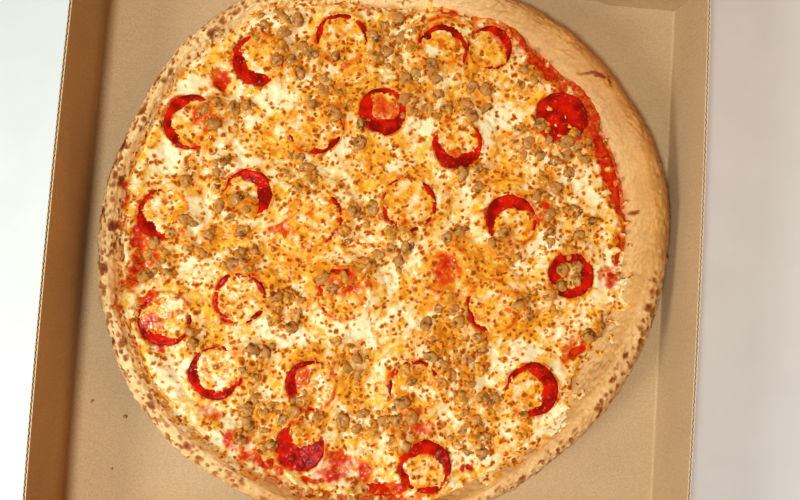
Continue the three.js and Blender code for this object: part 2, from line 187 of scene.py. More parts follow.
GOLD_PATCHES = (
    (-50, 0, 24, 18, 0), (0, 60, 26, 14, 0), (60, 5, 20, 16, 0), (30, -15, 22, 12, 0),
    (-95, -40, 10, 20, 0), (-20, 108, 16, 20, 0), (90, -30, 18, 10, 0), (-40, -60, 14, 10, 0),
    (70, 60, 16, 12, 0), (-10, -75, 14, 10, 0), (40, -40, 12, 8, 0), (-70, 70, 14, 12, 0),
    (100, -110, 24, 8, 40), (-95, 10, 14, 10, 0), (50, 125, 10, 10, 0),
)
# Where cheese has run up on the rim: angle in degrees, half width in degrees, distance
SPILLS = (
    (150, 7, 7), (163, 6, 5), (226, 6, 8), (240, 5, 4), (-46, 9, 9), (8, 5, 3), (62, 4, 3),
    (-62, 6, 5), (120, 6, 3), (-10, 5, 3), (200, 5, 3),
)
# Scorched marks on the rim: x, y, half length, half width, turn in degrees
SCORCHES = (
    (-155, 60, 4, 3.5, 60), (-152, 38, 3, 4, 0), (-155, 12, 2.6, 3.4, 0), (-148, -33, 2.4, 3, 20),
    (141, -58, 3, 2, 50), (149, -43, 2.4, 1.8, 60), (153, 43, 2.2, 1.5, 20),
    (150, 38, 1.6, 1.2, 30), (122, 124, 9, 1.2, -12), (131, 121, 1.2, 4, 15),
    (-151, -54, 3, 2, -50), (-163, 20, 2, 4, 0), (-158, -12, 2.4, 3, 10),
    (-128, -96, 4, 2.6, -45), (133, -92, 3.5, 2, 40),
)
# Crumbs on the tray's floor: x, y, radius
FLOOR_CRUMBS = ((-145, -100, 0.9), (-165, -92, 0.7), (-150, -131, 0.5), (120, -160, 0.6))

# The stage. Each light: its power's property, place and size in metres, colour
LIGHTS = (
    ("key", (-0.36, -0.28, 1.16), 0.2, "#FFFFFF"),
    ("low", (-0.95, -0.62, 0.7), 0.4, "#FFFFFF"),
    ("side", (0.95, 0.35, 0.75), 1.0, "#FF9A3C"),
)
SKY = "#FFFDFA"
GROUND_HALF = 1500.0
CAMERA_AT = (-13.84, -13.66, 446.72 + BOARD)
CAMERA_RIGHT = (0.99582, 0.06684, 0.06218)
CAMERA_UP = (-0.07004, 0.99625, 0.05081)
LENS = 32.583
SENSOR = 36.0


# ---- Colours ----

def linear(hex_colour):
    """An sRGB hex colour as linear RGB."""
    out = []
    for i in (1, 3, 5):
        v = int(hex_colour[i:i + 2], 16) / 255
        out.append(v / 12.92 if v <= 0.04045 else ((v + 0.055) / 1.055) ** 2.4)
    return tuple(out)


def colour_prop(name, description, hex_colour):
    return bpy.props.FloatVectorProperty(
        name=name, description=description, subtype="COLOR", size=3, min=0, max=1,
        default=linear(hex_colour),
    )


def length_prop(name, description, millimetres):
    return bpy.props.FloatProperty(
        name=name, description=description, subtype="DISTANCE", unit="LENGTH", min=0,
        default=millimetres * MM,
    )


def power_prop(name, description, watts):
    return bpy.props.FloatProperty(
        name=name, description=description, subtype="POWER", unit="POWER", min=0, default=watts,
    )


class PizzaLook(bpy.types.PropertyGroup):
    """Sizes and colours of the food."""

    relief: length_prop("Cheese relief", "Height of the cheese's swells", 1.3)
    scallop: length_prop("Blister height", "Height of the small blisters on the rim", 0.7)
    dough: colour_prop("Dough", "Baked dough where it is smooth", "#C98E3E")
    # cream also carries painted light up the rim's inner slope and a painted highlight on the small
    # blisters' tops, besides the real paler dough
    cream: colour_prop("Pale dough", "Dough that the oven's heat has coloured least", "#FFDF9E")
    # brown also carries painted shade: with real browning it darkens the rim's outer edge, and
    # alone it darkens the rim's top right
    brown: colour_prop("Browned dough", "Dough where the rim is most browned", "#AC6826")
    char: colour_prop("Scorched dough", "Blisters and marks", "#78300A")
    cream_cheese: colour_prop("Pale cheese", "Mozzarella that has only melted", "#F3E8B6")
    gold_cheese: colour_prop("Golden cheese", "Cheese soaked in warm fat", "#F1BE3A")
    amber_cheese: colour_prop("Amber cheese", "Cheese beginning to brown", "#D4740F")
    toasted: colour_prop("Toasted spots", "Browned bubbles of the cheese", "#8A3206")
    sauce: colour_prop("Sauce", "Cooked tomato", "#BE1A0A")
    stain: colour_prop("Stained cheese", "Cheese that red fat has run over", "#DE4A10")
    meat: colour_prop("Pepperoni", "Cured meat, wet with fat", "#CC1C08")
    meat_dark: colour_prop("Pepperoni edge", "Crisp edge of a slice", "#760C06")
    meat_fat: colour_prop("Pepperoni fat", "Paler flecks in a slice", "#E08A62")
    sausage: colour_prop("Sausage", "Cooked pork crumble", "#B9803A")
    # The crumbles' dark colour: random browning, and painted shade on each crumble's underside and
    # in its hollows
    sausage_dark: colour_prop("Sausage crust", "Browned parts of a crumble, and painted shade under it", "#663A14")
    sausage_fat: colour_prop("Sausage fat", "Paler grains in a crumble", "#DCC596")


class BoxLook(bpy.types.PropertyGroup):
    """Sizes and colours of the box."""

    pitch: length_prop("Flute pitch", "Distance between two flutes of the corrugated middle", 3.4)
    liner: length_prop("Liner", "Thickness of each paper facing", 0.35)
    kraft: colour_prop("Kraft paper", "Unbleached facing paper", "#C9AE83")
    cut: colour_prop("Cut edge", "Torn fibres where the board is cut", "#EAD9B4")
    fibre: colour_prop("Kraft fibre", "Darker fibres in the paper", "#B08A5A")
    speck: colour_prop("Kraft speck", "Dark specks in the paper", "#7A5A38")


class StageLook(bpy.types.PropertyGroup):
    """Light and ground."""

    key: power_prop("Key light", "Power of the small light over the left front", 10.6)
    low: power_prop("Low light", "Power of the grazing light from the left", 9.2)
    side: power_prop("Side light", "Power of the weaker light from the right", 4.3)
    fill: bpy.props.FloatProperty(
        name="Sky", description="Strength of the even light from all round", default=0.12, min=0,
    )
    ground: colour_prop("Ground", "Plain pale surface under the box", "#DCE4E1")


# ---- Noise and shape rules ----

def seeded(seed):
    """Numbers from 0 to 1 that are the same each time, in the solids' own order."""
    state = seed
    while True:
        state = (state * 1664525 + 1013904223) & 0xFFFFFFFF
        yield state / 2 ** 32


def hashed(ix, iy, iz, seed):
    """A whole number for each lattice point."""
    h = (ix * 374761393 + iy * 668265263 + iz * 2147483647 + seed * 144665) & 0xFFFFFFFF
    h = ((h ^ (h >> 13)) * 1274126177) & 0xFFFFFFFF
    return (h ^ (h >> 16)) & 0xFFFFFFFF


def noise(x, y, z, size, seed):
    """Smooth noise from about -1 to 1 whose features are as large as size."""
    p = [np.asarray(c, float) / size for c in np.broadcast_arrays(x, y, z)]
    cell = [np.floor(c).astype(np.int64) for c in p]
    part = [c - i for c, i in zip(p, cell)]
    ease = [f * f * f * (f * (f * 6 - 15) + 10) for f in part]
    total = 0
    for corner in itertools.product((0, 1), repeat=3):
        h = hashed(*(i + d for i, d in zip(cell, corner)), seed)
        turn = (h & 0xFFFF) / 65536 * 2 * np.pi
        up = ((h >> 16) & 0xFFFF) / 32768 - 1
        flat = np.sqrt(1 - up * up)
        fx, fy, fz = (f - d for f, d in zip(part, corner))
        weight = 1
        for e, d in zip(ease, corner):
            weight = weight * (e if d else 1 - e)
        total = total + (np.cos(turn) * flat * fx + np.sin(turn) * flat * fy + up * fz) * weight
    return NOISE_GAIN * total


def fractal(x, y, z, size, seed, octaves=3):
    """Noise with finer noise on it, each octave half as large and half as strong."""
    total = 0
    for k in range(octaves):
        total = total + noise(x, y, z, size / 2 ** k, seed + k) / 2 ** k
    return total / NOISE_GAIN


def pores(angle, along, size, seed):
    """Distance to the nearest of the points scattered on the rim's skin, and that point's own
    number. The skin goes round by angle and across in millimetres."""
    count = round(2 * np.pi * RIM_LINE / size)
    u, v = np.broadcast_arrays(angle / (2 * np.pi) * count, along / size)
    base_u, base_v = np.floor(u).astype(np.int64), np.floor(v).astype(np.int64)
    best, mark = np.full(u.shape, 9.0), np.zeros(u.shape)
    for du, dv in itertools.product((-1, 0, 1), repeat=2):
        cu, cv = (base_u + du) % count, base_v + dv
        spot_u, spot_v, own = (hashed(cu, cv, k, seed) / 2 ** 32 for k in range(3))
        away = (u - base_u - du - spot_u) ** 2 + (v - base_v - dv - spot_v) ** 2
        mark = np.where(away < best, own, mark)
        best = np.minimum(away, best)
    return np.sqrt(best) * size, mark


def smooth(low, high, value):
    t = np.clip((value - low) / (high - low), 0, 1)
    return t * t * (3 - 2 * t)


def around(values, angle):
    """A smooth closed curve through values at even steps of angle, the first at +X."""
    values = np.asarray(values, float)
    n = len(values)
    place = (np.asarray(angle) / (2 * np.pi)) % 1 * n
    step = np.floor(place).astype(int)
    f = place - step
    a, b, c, d = (values[(step + k) % n] for k in (-1, 0, 1, 2))
    return b + 0.5 * f * (c - a + f * (2 * a - 5 * b + 4 * c - d + f * (3 * (b - c) + d - a)))


def turned(angle, degrees):
    """The turn from a direction in degrees, from -pi to pi."""
    off = angle - math.radians(degrees)
    return np.arctan2(np.sin(off), np.cos(off))


def facing(angle, degrees, near, far):
    """1 within near degrees of a direction, down to 0 at far degrees from it."""
    return 1 - smooth(near, far, np.abs(np.degrees(turned(angle, degrees))))


def patch(x, y, patches, ragged, size, seed):
    """1 inside any of the patches and 0 outside, with soft ragged edges."""
    wx = x + ragged * noise(x, y, 0, size, seed)
    wy = y + ragged * noise(x, y, 9, size, seed + 1)
    total = np.zeros(np.shape(x))
    for px, py, half_long, half_wide, degrees in patches:
        c, s = math.cos(math.radians(degrees)), math.sin(math.radians(degrees))
        u = ((wx - px) * c + (wy - py) * s) / half_long
        v = ((wy - py) * c - (wx - px) * s) / half_wide
        total = np.maximum(total, 1 - smooth(0.55, 1.25, np.hypot(u, v)))
    return total


def outer_edge(angle):
    return around(CRUST_RADII, angle)


def rim_width(angle):
    return around(RIM_WIDTHS, angle)


def rim_height(angle):
    return RIM_HEIGHT + RIM_HEIGHT_LEAN * np.cos(angle)


def rim_swell(angle, share):
    """Height of the rim's bubbles at a share of its width from the outer edge."""
    swell = 0.5 * np.sin(9 * angle + 4 * share) + 0.4 * np.sin(17 * angle - 3 * share + 1)
    for degrees, across, radius, height in RIM_BUBBLES:
        along = turned(angle, degrees) * outer_edge(angle)
        over = (share - across) * rim_width(angle)
        swell = swell + height * np.exp(-(along ** 2 + over ** 2) / radius ** 2)
    return swell


def polar(x, y):
    dx, dy = x - CENTRE[0], y - CENTRE[1]
    return np.hypot(dx, dy), np.arctan2(dy, dx)


def crust_top(x, y):
    """Height of the dough from the rim's highest line inwards."""
    r, angle = polar(x, y)
    share = np.clip((outer_edge(angle) - r) / rim_width(angle), RIM_CROWN, 1)
    slope = (share - RIM_CROWN) / (1 - RIM_CROWN)
    fall = 0.5 - 0.5 * np.cos(np.pi * slope)
    height = rim_height(angle)
    return DOUGH_Z + height - fall * (height - BASE) + rim_swell(angle, share) * (1 - fall)


def sauce_edge(angle):
    foot = outer_edge(angle) - rim_width(angle)
    return foot - GAP - 0.6 * (1 + np.sin(13 * angle) * np.sin(5 * angle))


def cheese_edge(angle):
    short = 1.5 + 0.9 * (1 + np.sin(14 * angle + 1) * np.cos(5 * angle))
    for degrees, half, depth in SAUCE_SHOWS:
        off = np.minimum(1, np.abs(turned(angle, degrees)) / math.radians(half))
        short = short + depth * (1 - off ** 4)
    return outer_edge(angle) - rim_width(angle) - short


def sauce_bands(angle):
    """1 along the bands where the sauce shows beside the rim."""
    shows = np.zeros(np.shape(angle))
    for degrees, half, _ in SAUCE_SHOWS:
        shows = np.maximum(shows, facing(angle, degrees, 0.6 * half, 1.2 * half))
    return shows


def crumble_places():
    """Middle and radius of each crumble, by the rule that the solids follow."""
    random = seeded(SEED)
    places = []
    for x, y, spread, count in HANDFULS:
        for _ in range(count):
            for _ in range(CRUMBLE_TRIES):
                angle = 2 * math.pi * next(random)
                away = spread * math.sqrt(next(random))
                radius = CRUMBLE[0] + (CRUMBLE[1] - CRUMBLE[0]) * next(random)
                u, v = x + away * math.cos(angle), y + away * math.sin(angle)
                if all(math.hypot(u - p[0], v - p[1]) > CRUMBLE_SPACE for p in places):
                    places.append((u, v, radius))
                    break
    return places


def slice_facts():
    """Name, centre, radius, height of the underside and lean of the curl of each slice."""
    facts = []
    random = seeded(SEED + 2)
    names = sorted(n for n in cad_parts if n.startswith("pepperoni"))
    for i, name in enumerate(names):
        low, high = (np.array(c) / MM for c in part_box(name))
        lean = 2 * math.pi * next(random)
        if i == TOPPED_SLICE:
            for _ in range(len(CRUMBLES_ON_SLICE) * CRUMBLE_DRAWS):
                next(random)
        radius = (high[0] - low[0]) / 2
        facts.append((name, (low[0] + high[0]) / 2, (low[1] + high[1]) / 2, radius, low[2], lean))
    return facts


# ---- Meshes ----

def build(name, verts, faces, attributes=None, shade=True):
    """A mesh object from millimetre points, with named numbers on its points."""
    mesh = bpy.data.meshes.new(name)
    mesh.from_pydata((np.asarray(verts) * MM).tolist(), [], faces)
    if shade:
        mesh.polygons.foreach_set("use_smooth", [True] * len(mesh.polygons))
    for key, values in (attributes or {}).items():
        layer = mesh.attributes.new(key, "FLOAT", "POINT")
        layer.data.foreach_set("value", np.asarray(values, np.float32).ravel())
    mesh.validate()
    mesh.update()
    piece = bpy.data.objects.new(name, mesh)
    bpy.context.scene.collection.objects.link(piece)
    return piece


def grid_faces(rows, columns, start=0, wrap=False):
    """Quads between rows of points; wrap joins each row's end to its start."""
    across = columns if wrap else columns - 1
    i, j = np.meshgrid(np.arange(rows - 1), np.arange(across), indexing="ij")
    k = (j + 1) % columns
    quads = [i * columns + j, i * columns + k, (i + 1) * columns + k, (i + 1) * columns + j]
    return (np.stack(quads, -1).reshape(-1, 4) + start).tolist()


def grid_border(rows, columns):
    """The run of points round a grid's edge."""
    index = np.arange(rows * columns).reshape(rows, columns)
    return [*map(int, (*index[0, :-1], *index[:-1, -1], *index[-1, :0:-1], *index[:0:-1, 0]))]


def border_faces(border, rim):
    """Quads from a run of border points to the run of points under it."""
    after = (*border[1:], border[0]), (*rim[1:], rim[0])
    return [[b, low, low_next, b_next] for b, low, b_next, low_next in zip(border, rim, *after)]


def disc_grid(cuts, outline):
    """An even grid of points pulled out to a round outline, and the run of its border points."""
    line = np.linspace(-1, 1, cuts + 1)
    v, u = np.meshgrid(line, line, indexing="ij")
    wide = np.abs(u) > np.abs(v)
    safe_u, safe_v = np.where(u == 0, 1, u), np.where(v == 0, 1, v)
    rho = np.where(wide, u, v)
    angle = np.where(wide, np.pi / 4 * v / safe_u, np.pi / 2 - np.pi / 4 * u / safe_v)
    x, y = rho * np.cos(angle), rho * np.sin(angle)
    reach = outline(np.arctan2(y, x))
    return x * reach, y * reach, grid_border(cuts + 1, cuts + 1)


def sheet_on_grid(name, x, y, top, bottom, border, attributes=None):
    """A closed piece: a grid for its top, and a flat or second grid for its underside."""
    rows, columns = x.shape
    upper = np.stack([x, y, top], -1).reshape(-1, 3)
    faces = grid_faces(rows, columns)
    count = len(upper)
    if np.ndim(bottom):
        lower = np.stack([x, y, bottom], -1).reshape(-1, 3)
        faces += [f[::-1] for f in grid_faces(rows, columns, count)]
        rim = [b + count for b in border]
    else:
        lower = upper[border].copy()
        lower[:, 2] = bottom
        rim = list(range(count, count + len(border)))
        faces.append(rim[::-1])
    faces += border_faces(border, rim)
    marks = {}
    for key, values in (attributes or {}).items():
        flat = np.asarray(values).ravel()
        marks[key] = np.concatenate([flat, flat if len(lower) == count else flat[border]])
    return build(name, np.concatenate([upper, lower]), faces, marks)


def ball_grid(cuts):
    """Points on a unit sphere from a cube's six gridded faces, with the shared edges merged."""
    line = np.tan(np.linspace(-1, 1, cuts + 1) * np.pi / 4)
    a, b = np.meshgrid(line, line, indexing="ij")
    one = np.ones_like(a)
    sides = ((a, b, one), (b, a, -one), (one, a, b), (-one, b, a), (b, one, a), (a, -one, b))
    points = np.concatenate([np.stack(s, -1).reshape(-1, 3) for s in sides])
    points /= np.linalg.norm(points, axis=1)[:, None]
    faces = []
    for k in range(len(sides)):
        faces += grid_faces(cuts + 1, cuts + 1, k * (cuts + 1) ** 2)
    _, first, inverse = np.unique(
        np.round(points, 5), axis=0, return_index=True, return_inverse=True
    )
    return points[first], inverse.ravel()[np.array(faces)]


def lump(points, centre, radii, turn, rough, seed):
    """A sphere's points turned into an irregular lump."""
    c, s = math.cos(turn), math.sin(turn)
    shift = seed * 7.31
    x, y, z = points.T
    swell = (1 + rough * noise(x + shift, y, z, 1.1, seed)
             + 0.55 * rough * noise(x, y + shift, z, 0.5, seed)
             + 0.3 * rough * noise(x, y + shift, z, 0.24, seed))
    x, y, z = (points * swell[:, None] * np.array(radii)).T
    spot = np.stack([x * c - y * s + centre[0], x * s + y * c + centre[1], z + centre[2]], 1)
    return spot, swell - 1


def joined(parts):
    """Points and faces of several parts made of quads, as one."""
    starts = np.cumsum([0] + [len(points) for points, _ in parts])
    faces = [np.array(quads) + start for (_, quads), start in zip(parts, starts)]
    return np.concatenate([points for points, _ in parts]), np.concatenate(faces).tolist()


def dressed(piece, body, paint, slot, *nodes):
    """Gives a piece its finish and body, and hides the solids that it stands for."""
    piece.data.materials.append(finish(paint))
    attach(piece, body)
    if nodes:
        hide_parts(*nodes)


# ---- Materials ----
#
# Inputs without a name of their own go by number. MapRange: 0 is the value, 1 and 2 the range it
# comes from, 3 and 4 the range it goes to. Mix: 0 is the share, 6 and 7 are the two colours and
# output 2 is the mixed one. A pattern's scale is 1000 over its size in millimetres: 420 is a grain
# of 2.4 mm.

def add(tree, kind, inputs=None, out=0, **settings):
    """Adds a node, sets or links its inputs, and gives back one of its outputs."""
    node = tree.nodes.new("ShaderNode" + kind)
    for key, value in settings.items():
        setattr(node, key, value)
    for key, value in (inputs or {}).items():
        socket = node.inputs[key]
        if isinstance(value, bpy.types.NodeSocket):
            tree.links.new(value, socket)
        else:
            socket.default_value = (*value, 1.0) if socket.type == "RGBA" else value
    return node.outputs[out]


def coated(tree, base, *coats):
    """Lays coats over a base colour, each (mask, colour) or (mask, colour, low, high, strength): a
    coat with a range comes up to its strength as the mask goes from low to high."""
    for mask, colour, *span in coats:
        if span:
            low, high, strength = span
            mask = add(tree, "MapRange", {0: mask, 1: low, 2: high, 4: strength})
        base = add(tree, "Mix", {0: mask, 6: base, 7: colour}, 2, data_type="RGBA")
    return base


def shaded(tree, base, pattern, low, high, dark, light):
    """Darkens and lightens a base colour as a pattern goes from low to high."""
    tone = add(tree, "MapRange", {0: pattern, 1: low, 2: high, 3: dark, 4: light})
    return add(tree, "Mix", {0: 1.0, 6: base, 7: tone}, 2, data_type="RGBA", blend_type="MULTIPLY")


def finish(paint):
    """The material that a function paints, named after it and made when first asked for."""
    name = paint.__name__.replace("_", " ")
    material = bpy.data.materials.get(name)
    if not material:
        material = bpy.data.materials.new(name)
        material.use_nodes = True
        tree = material.node_tree
        tree.nodes.clear()
        inputs = paint(tree, add(tree, "TexCoord", out="Object"))
        surface = add(tree, "BsdfPrincipled", inputs)
        output = tree.nodes.new("ShaderNodeOutputMaterial")
        tree.links.new(surface, output.inputs["Surface"])
    return material


def baked_wheat_dough(tree, co):
    """Wheat dough baked on a hot deck: matt, finely pitted, browner towards the rim's outer edge,
    partly as real browning and partly as painted shade, and darker at its top right as painted
    shade. The eye sees a soft tan skin with pale stretch marks and dark, slightly sunken
    blisters; the extra paleness up the rim's inner slope is painted light, and the pale tops of
    the small blisters are a painted highlight."""
    look = bpy.context.scene.pizza_look
    char, pale, outward, stained = (
        add(tree, "Attribute", out="Fac", attribute_name=name)
        for name in ("char", "pale", "outward", "stained")
    )
    broad = add(tree, "TexNoise", {"Vector": co, "Scale": 45.0, "Detail": 4.0})
    fine = add(tree, "TexNoise", {"Vector": co, "Scale": 420.0, "Detail": 5.0, "Roughness": 0.65})
    pits = add(tree, "TexVoronoi", {"Vector": co, "Scale": 230.0})
    # Browner towards the rim's outer edge, partly real browning and partly painted shade, and
    # painted shade at the top right; the broad noise adds random browning
    browned = add(tree, "Math", {0: outward, 1: 0.45, 2: broad}, operation="MULTIPLY_ADD")
    oily = add(tree, "Math", {0: stained, 1: fine}, operation="MULTIPLY")
    oily = add(tree, "MapRange", {0: oily, 1: 0.05, 2: 0.5, 4: 0.85})
    soaked = coated(tree, look.amber_cheese, (oily, look.stain))
    # pale: really paler dough where blistered, painted light up the rim's inner slope, and a
    # painted highlight on the small blisters' tops
    skin = coated(tree, look.dough, (browned, look.brown, 0.5, 1.0, 0.9), (pale, look.cream))
    skin = shaded(tree, skin, fine, 0.35, 0.7, 0.86, 1.1)
    skin = coated(
        tree, skin, (oily, soaked), (char, look.brown, 0.04, 0.38, 0.85),
        (char, look.char, 0.4, 0.95, 0.9), (pits, look.cream, 0.15, 0.06, 0.18),
    )
    pitted = add(tree, "MapRange", {0: pits, 1: 0.05, 2: 0.4})
    relief = add(tree, "Math", {0: fine, 1: pitted}, operation="ADD")
    bump = add(tree, "Bump", {"Strength": 0.5, "Distance": 0.0006, "Height": relief})
    return {
        "Base Color": skin, "Roughness": 0.52, "Normal": bump, "IOR": 1.45,
        "Specular IOR Level": 0.3, "Subsurface Weight": 0.05,
        "Subsurface Radius": (0.004, 0.002, 0.001), "Subsurface Scale": 0.6,
    }


def melted_mozzarella(tree, co):
    """Mozzarella melted and toasted: creamy where it ran, golden where fat soaked it, with round
    brown spots where bubbles met the heat, and a wet, slightly translucent surface."""
    look = bpy.context.scene.pizza_look
    red, gold, toast = (
        add(tree, "Attribute", out="Fac", attribute_name=name) for name in ("red", "gold", "toast")
    )
    swirl, patchy, where, blobs = (
        add(tree, "TexNoise", {"Vector": co, "Scale": scale, "Detail": detail, "Roughness": rough})
        for scale, detail, rough in (
            (115.0, 5.0, 0.62), (240.0, 4.0, 0.6), (130.0, 4.0, 0.5), (260.0, 1.0, 0.5),
        )
    )
    golden = add(tree, "Math", {0: gold, 1: 0.3, 2: swirl}, operation="MULTIPLY_ADD")
    golden = add(tree, "Math", {0: red, 1: 0.08, 2: golden}, operation="MULTIPLY_ADD")
    golden = add(tree, "MapRange", {0: golden, 1: 0.46, 2: 0.65})
    amber = add(tree, "Math", {0: toast, 1: 0.3, 2: patchy}, operation="MULTIPLY_ADD")
    amber = add(tree, "MapRange", {0: amber, 1: 0.48, 2: 0.7, 4: 0.8})
    amber = add(tree, "Math", {0: amber, 1: golden}, operation="MULTIPLY")
    warp = add(tree, "TexNoise", {"Vector": co, "Scale": 300.0, "Detail": 3.0}, "Color")
    near = add(tree, "Mix", {0: 0.0045, 4: co, 5: warp}, 1, data_type="VECTOR")
    dots = []
    for scale, wide in ((175.0, 0.42), (270.0, 0.46)):
        cell = add(tree, "TexVoronoi", {"Vector": near, "Scale": scale})
        dots.append(add(tree, "MapRange", {0: cell, 1: wide, 2: 0.1}))
    spots = add(tree, "Math", {0: dots[0], 1: dots[1]}, operation="MAXIMUM")
    where = add(tree, "Math", {0: toast, 1: 0.35, 2: where}, operation="MULTIPLY_ADD")
    where = add(tree, "MapRange", {0: where, 1: 0.4, 2: 0.6})
    spots = add(tree, "Math", {0: spots, 1: where}, operation="MULTIPLY")
    stain = add(tree, "Math", {0: red, 1: swirl}, operation="MULTIPLY")
    body = coated(
        tree, look.cream_cheese, (golden, look.gold_cheese), (amber, look.amber_cheese),
        (spots, look.gold_cheese, 0.02, 0.3, 0.75), (stain, look.stain, 0.25, 0.38, 0.8),
        (stain, look.sauce, 0.36, 0.47, 0.9), (spots, look.amber_cheese, 0.07, 0.5, 0.92),
        (spots, look.toasted, 0.34, 0.92, 0.88),
    )
    relief = add(tree, "Math", {0: spots, 1: 0.4, 2: blobs}, operation="MULTIPLY_ADD")
    bump = add(tree, "Bump", {"Strength": 0.6, "Distance": 0.0012, "Height": relief})
    rough = add(tree, "MapRange", {0: swirl, 1: 0.35, 2: 0.65, 3: 0.07, 4: 0.22})
    return {
        "Base Color": body, "Roughness": rough, "Normal": bump, "IOR": 1.36,
        "Specular IOR Level": 0.3, "Subsurface Weight": 0.08,
        "Subsurface Radius": (0.003, 0.0024, 0.0012), "Subsurface Scale": 0.6,
    }


def cooked_tomato_sauce(tree, co):
    """Tomato sauce cooked under cheese: wet and red, with pulp that catches small lights."""
    look = bpy.context.scene.pizza_look
    pulp = add(tree, "TexNoise", {"Vector": co, "Scale": 330.0, "Detail": 5.0, "Roughness": 0.6})
    wet = add(tree, "TexNoise", {"Vector": co, "Scale": 300.0, "Detail": 1.0})
    return {
        "Base Color": coated(tree, look.sauce, (pulp, look.amber_cheese, 0.45, 0.75, 0.55)),
        "Normal": add(tree, "Bump", {"Strength": 0.5, "Distance": 0.0008, "Height": wet}),
        "Roughness": 0.13, "IOR": 1.36, "Specular IOR Level": 0.08,
    }


def fried_pepperoni(tree, co):
    """Pepperoni that has rendered its fat: deep red and wet, flecked with paler fat, its edge crisp
    and dark."""
    look = bpy.context.scene.pizza_look
    edge = add(tree, "Attribute", out="Fac", attribute_name="edge")
    grain, mottle, wet = (
        add(tree, "TexNoise", {"Vector": co, "Scale": scale, "Detail": detail, "Roughness": rough})
        for scale, detail, rough in ((300.0, 5.0, 0.65), (130.0, 4.0, 0.5), (420.0, 2.0, 0.5))
    )
    flecks = add(tree, "TexVoronoi", {"Vector": co, "Scale": 430.0})
    flecks = add(tree, "MapRange", {0: flecks, 1: 0.36, 2: 0.12, 4: 0.5})
    fatty = add(tree, "MapRange", {0: grain, 1: 0.5, 2: 0.62})
    fatty = add(tree, "Math", {0: flecks, 1: fatty}, operation="MULTIPLY")
    crisp = add(tree, "Math", {0: edge, 1: grain}, operation="MULTIPLY")
    body = coated(
        tree, look.meat, (mottle, look.meat_dark, 0.62, 0.4, 0.9), (fatty, look.meat_fat),
        (crisp, look.meat_dark, 0.3, 0.6, 0.75),
    )
    bump = add(tree, "Bump", {"Strength": 0.55, "Distance": 0.0008, "Height": wet})
    return {
        "Base Color": body, "Roughness": 0.1, "Normal": bump, "IOR": 1.36,
        "Specular IOR Level": 0.06, "Subsurface Weight": 0.05,
        "Subsurface Radius": (0.004, 0.001, 0.001), "Subsurface Scale": 0.4,
    }


def cooked_pork_sausage(tree, co):
    """Crumbled pork sausage: grey-brown and granular, darker in places at random, lighter on top
    and darker on its underside and in its hollows with painted shade, under a film of fat.
    """
    look = bpy.context.scene.pizza_look
    shade, veil = (
        add(tree, "Attribute", out="Fac", attribute_name=name) for name in ("shade", "veil")
    )
    grain = add(tree, "TexNoise", {"Vector": co, "Scale": 480.0, "Detail": 5.0, "Roughness": 0.7})
    clumps = add(tree, "TexVoronoi", {"Vector": co, "Scale": 620.0})
    # shade darkens some crumbles at random, and is painted shade: darker on each crumble's
    # underside and in its hollows, lighter on top
    tone = add(tree, "Math", {0: grain, 1: shade}, operation="ADD")
    milky = coated(tree, look.amber_cheese, (grain, look.gold_cheese, 0.4, 0.6, 1.0))
    body = coated(
        tree, look.sausage, (tone, look.sausage_dark, 0.35, 0.9, 1.0),
        (clumps, look.sausage_fat, 0.32, 0.1, 0.35), (veil, milky),
    )
    relief = add(tree, "Math", {0: grain, 1: clumps}, operation="ADD")
    bump = add(tree, "Bump", {"Strength": 0.35, "Distance": 0.0008, "Height": relief})
    return {
        "Base Color": body, "Roughness": 0.16, "Normal": bump, "IOR": 1.4,
        "Specular IOR Level": 0.35, "Subsurface Weight": 0.08,
        "Subsurface Radius": (0.003, 0.002, 0.001), "Subsurface Scale": 0.5,
    }


def kraft_corrugated_card(tree, co):
    """Unbleached kraft liner glued over flutes: matt brown paper with short darker fibres, and
    lines along X where the flutes print through, a little stronger than real so that they show."""
    look = bpy.context.scene.box_look
    cut = add(tree, "Attribute", out="Fac", attribute_name="cut")
    lie = add(tree, "Mapping", {"Vector": co, "Scale": (900.0, 1200.0, 1000.0)})
    fibres = add(tree, "TexNoise", {"Vector": lie, "Scale": 1.0, "Detail": 4.0, "Roughness": 0.7})
    cloud = add(tree, "TexNoise", {"Vector": co, "Scale": 22.0, "Detail": 3.0})
    specks = add(tree, "TexVoronoi", {"Vector": co, "Scale": 260.0})
    flute = add(tree, "SeparateXYZ", {0: co}, "Y")
    flute = add(tree, "Math", {0: flute, 1: 2 * math.pi / look.pitch}, operation="MULTIPLY")
    flute = add(tree, "Math", {0: flute}, operation="SINE")
    body = coated(
        tree, look.kraft, (fibres, look.fibre, 0.36, 0.64, 0.65),
        (specks, look.speck, 0.09, 0.04, 0.5), (cut, look.cut, 0.3, 0.9, 0.85),
    )
    relief = add(tree, "Math", {0: flute, 1: 0.35, 2: fibres}, operation="MULTIPLY_ADD")
    return {
        "Base Color": shaded(tree, body, cloud, 0.3, 0.7, 0.95, 1.04),
        "Normal": add(tree, "Bump", {"Strength": 0.3, "Distance": 0.0002, "Height": relief}),
        "Roughness": 0.85, "IOR": 1.45,
    }


def pale_ground(tree, co):
    """Painted board: pale and matt, with a faint unevenness."""
    grain = add(tree, "TexNoise", {"Vector": co, "Scale": 30.0, "Detail": 3.0})
    body = shaded(tree, bpy.context.scene.stage_look.ground, grain, 0.3, 0.7, 0.97, 1.02)
    return {"Base Color": body, "Roughness": 0.6}


# ---- Box ----

def slab(u, v, low, high, place):
    """A closed sheet over lines of u and v, set down by place(u, v, depth). The depths low and high
    are numbers or functions of u and v."""
    vv, uu = np.meshgrid(np.asarray(v, float), np.asarray(u, float), indexing="ij")
    rows, columns = uu.shape
    count = rows * columns
    sides = []
    for depth in (high, low):
        d = depth(uu, vv) if callable(depth) else np.full(uu.shape, float(depth))
        sides.append(np.stack(place(uu, vv, d), -1).reshape(-1, 3))
    faces = grid_faces(rows, columns) + [f[::-1] for f in grid_faces(rows, columns, count)]
    border = grid_border(rows, columns)
    return np.concatenate(sides), faces + border_faces(border, [b + count for b in border])


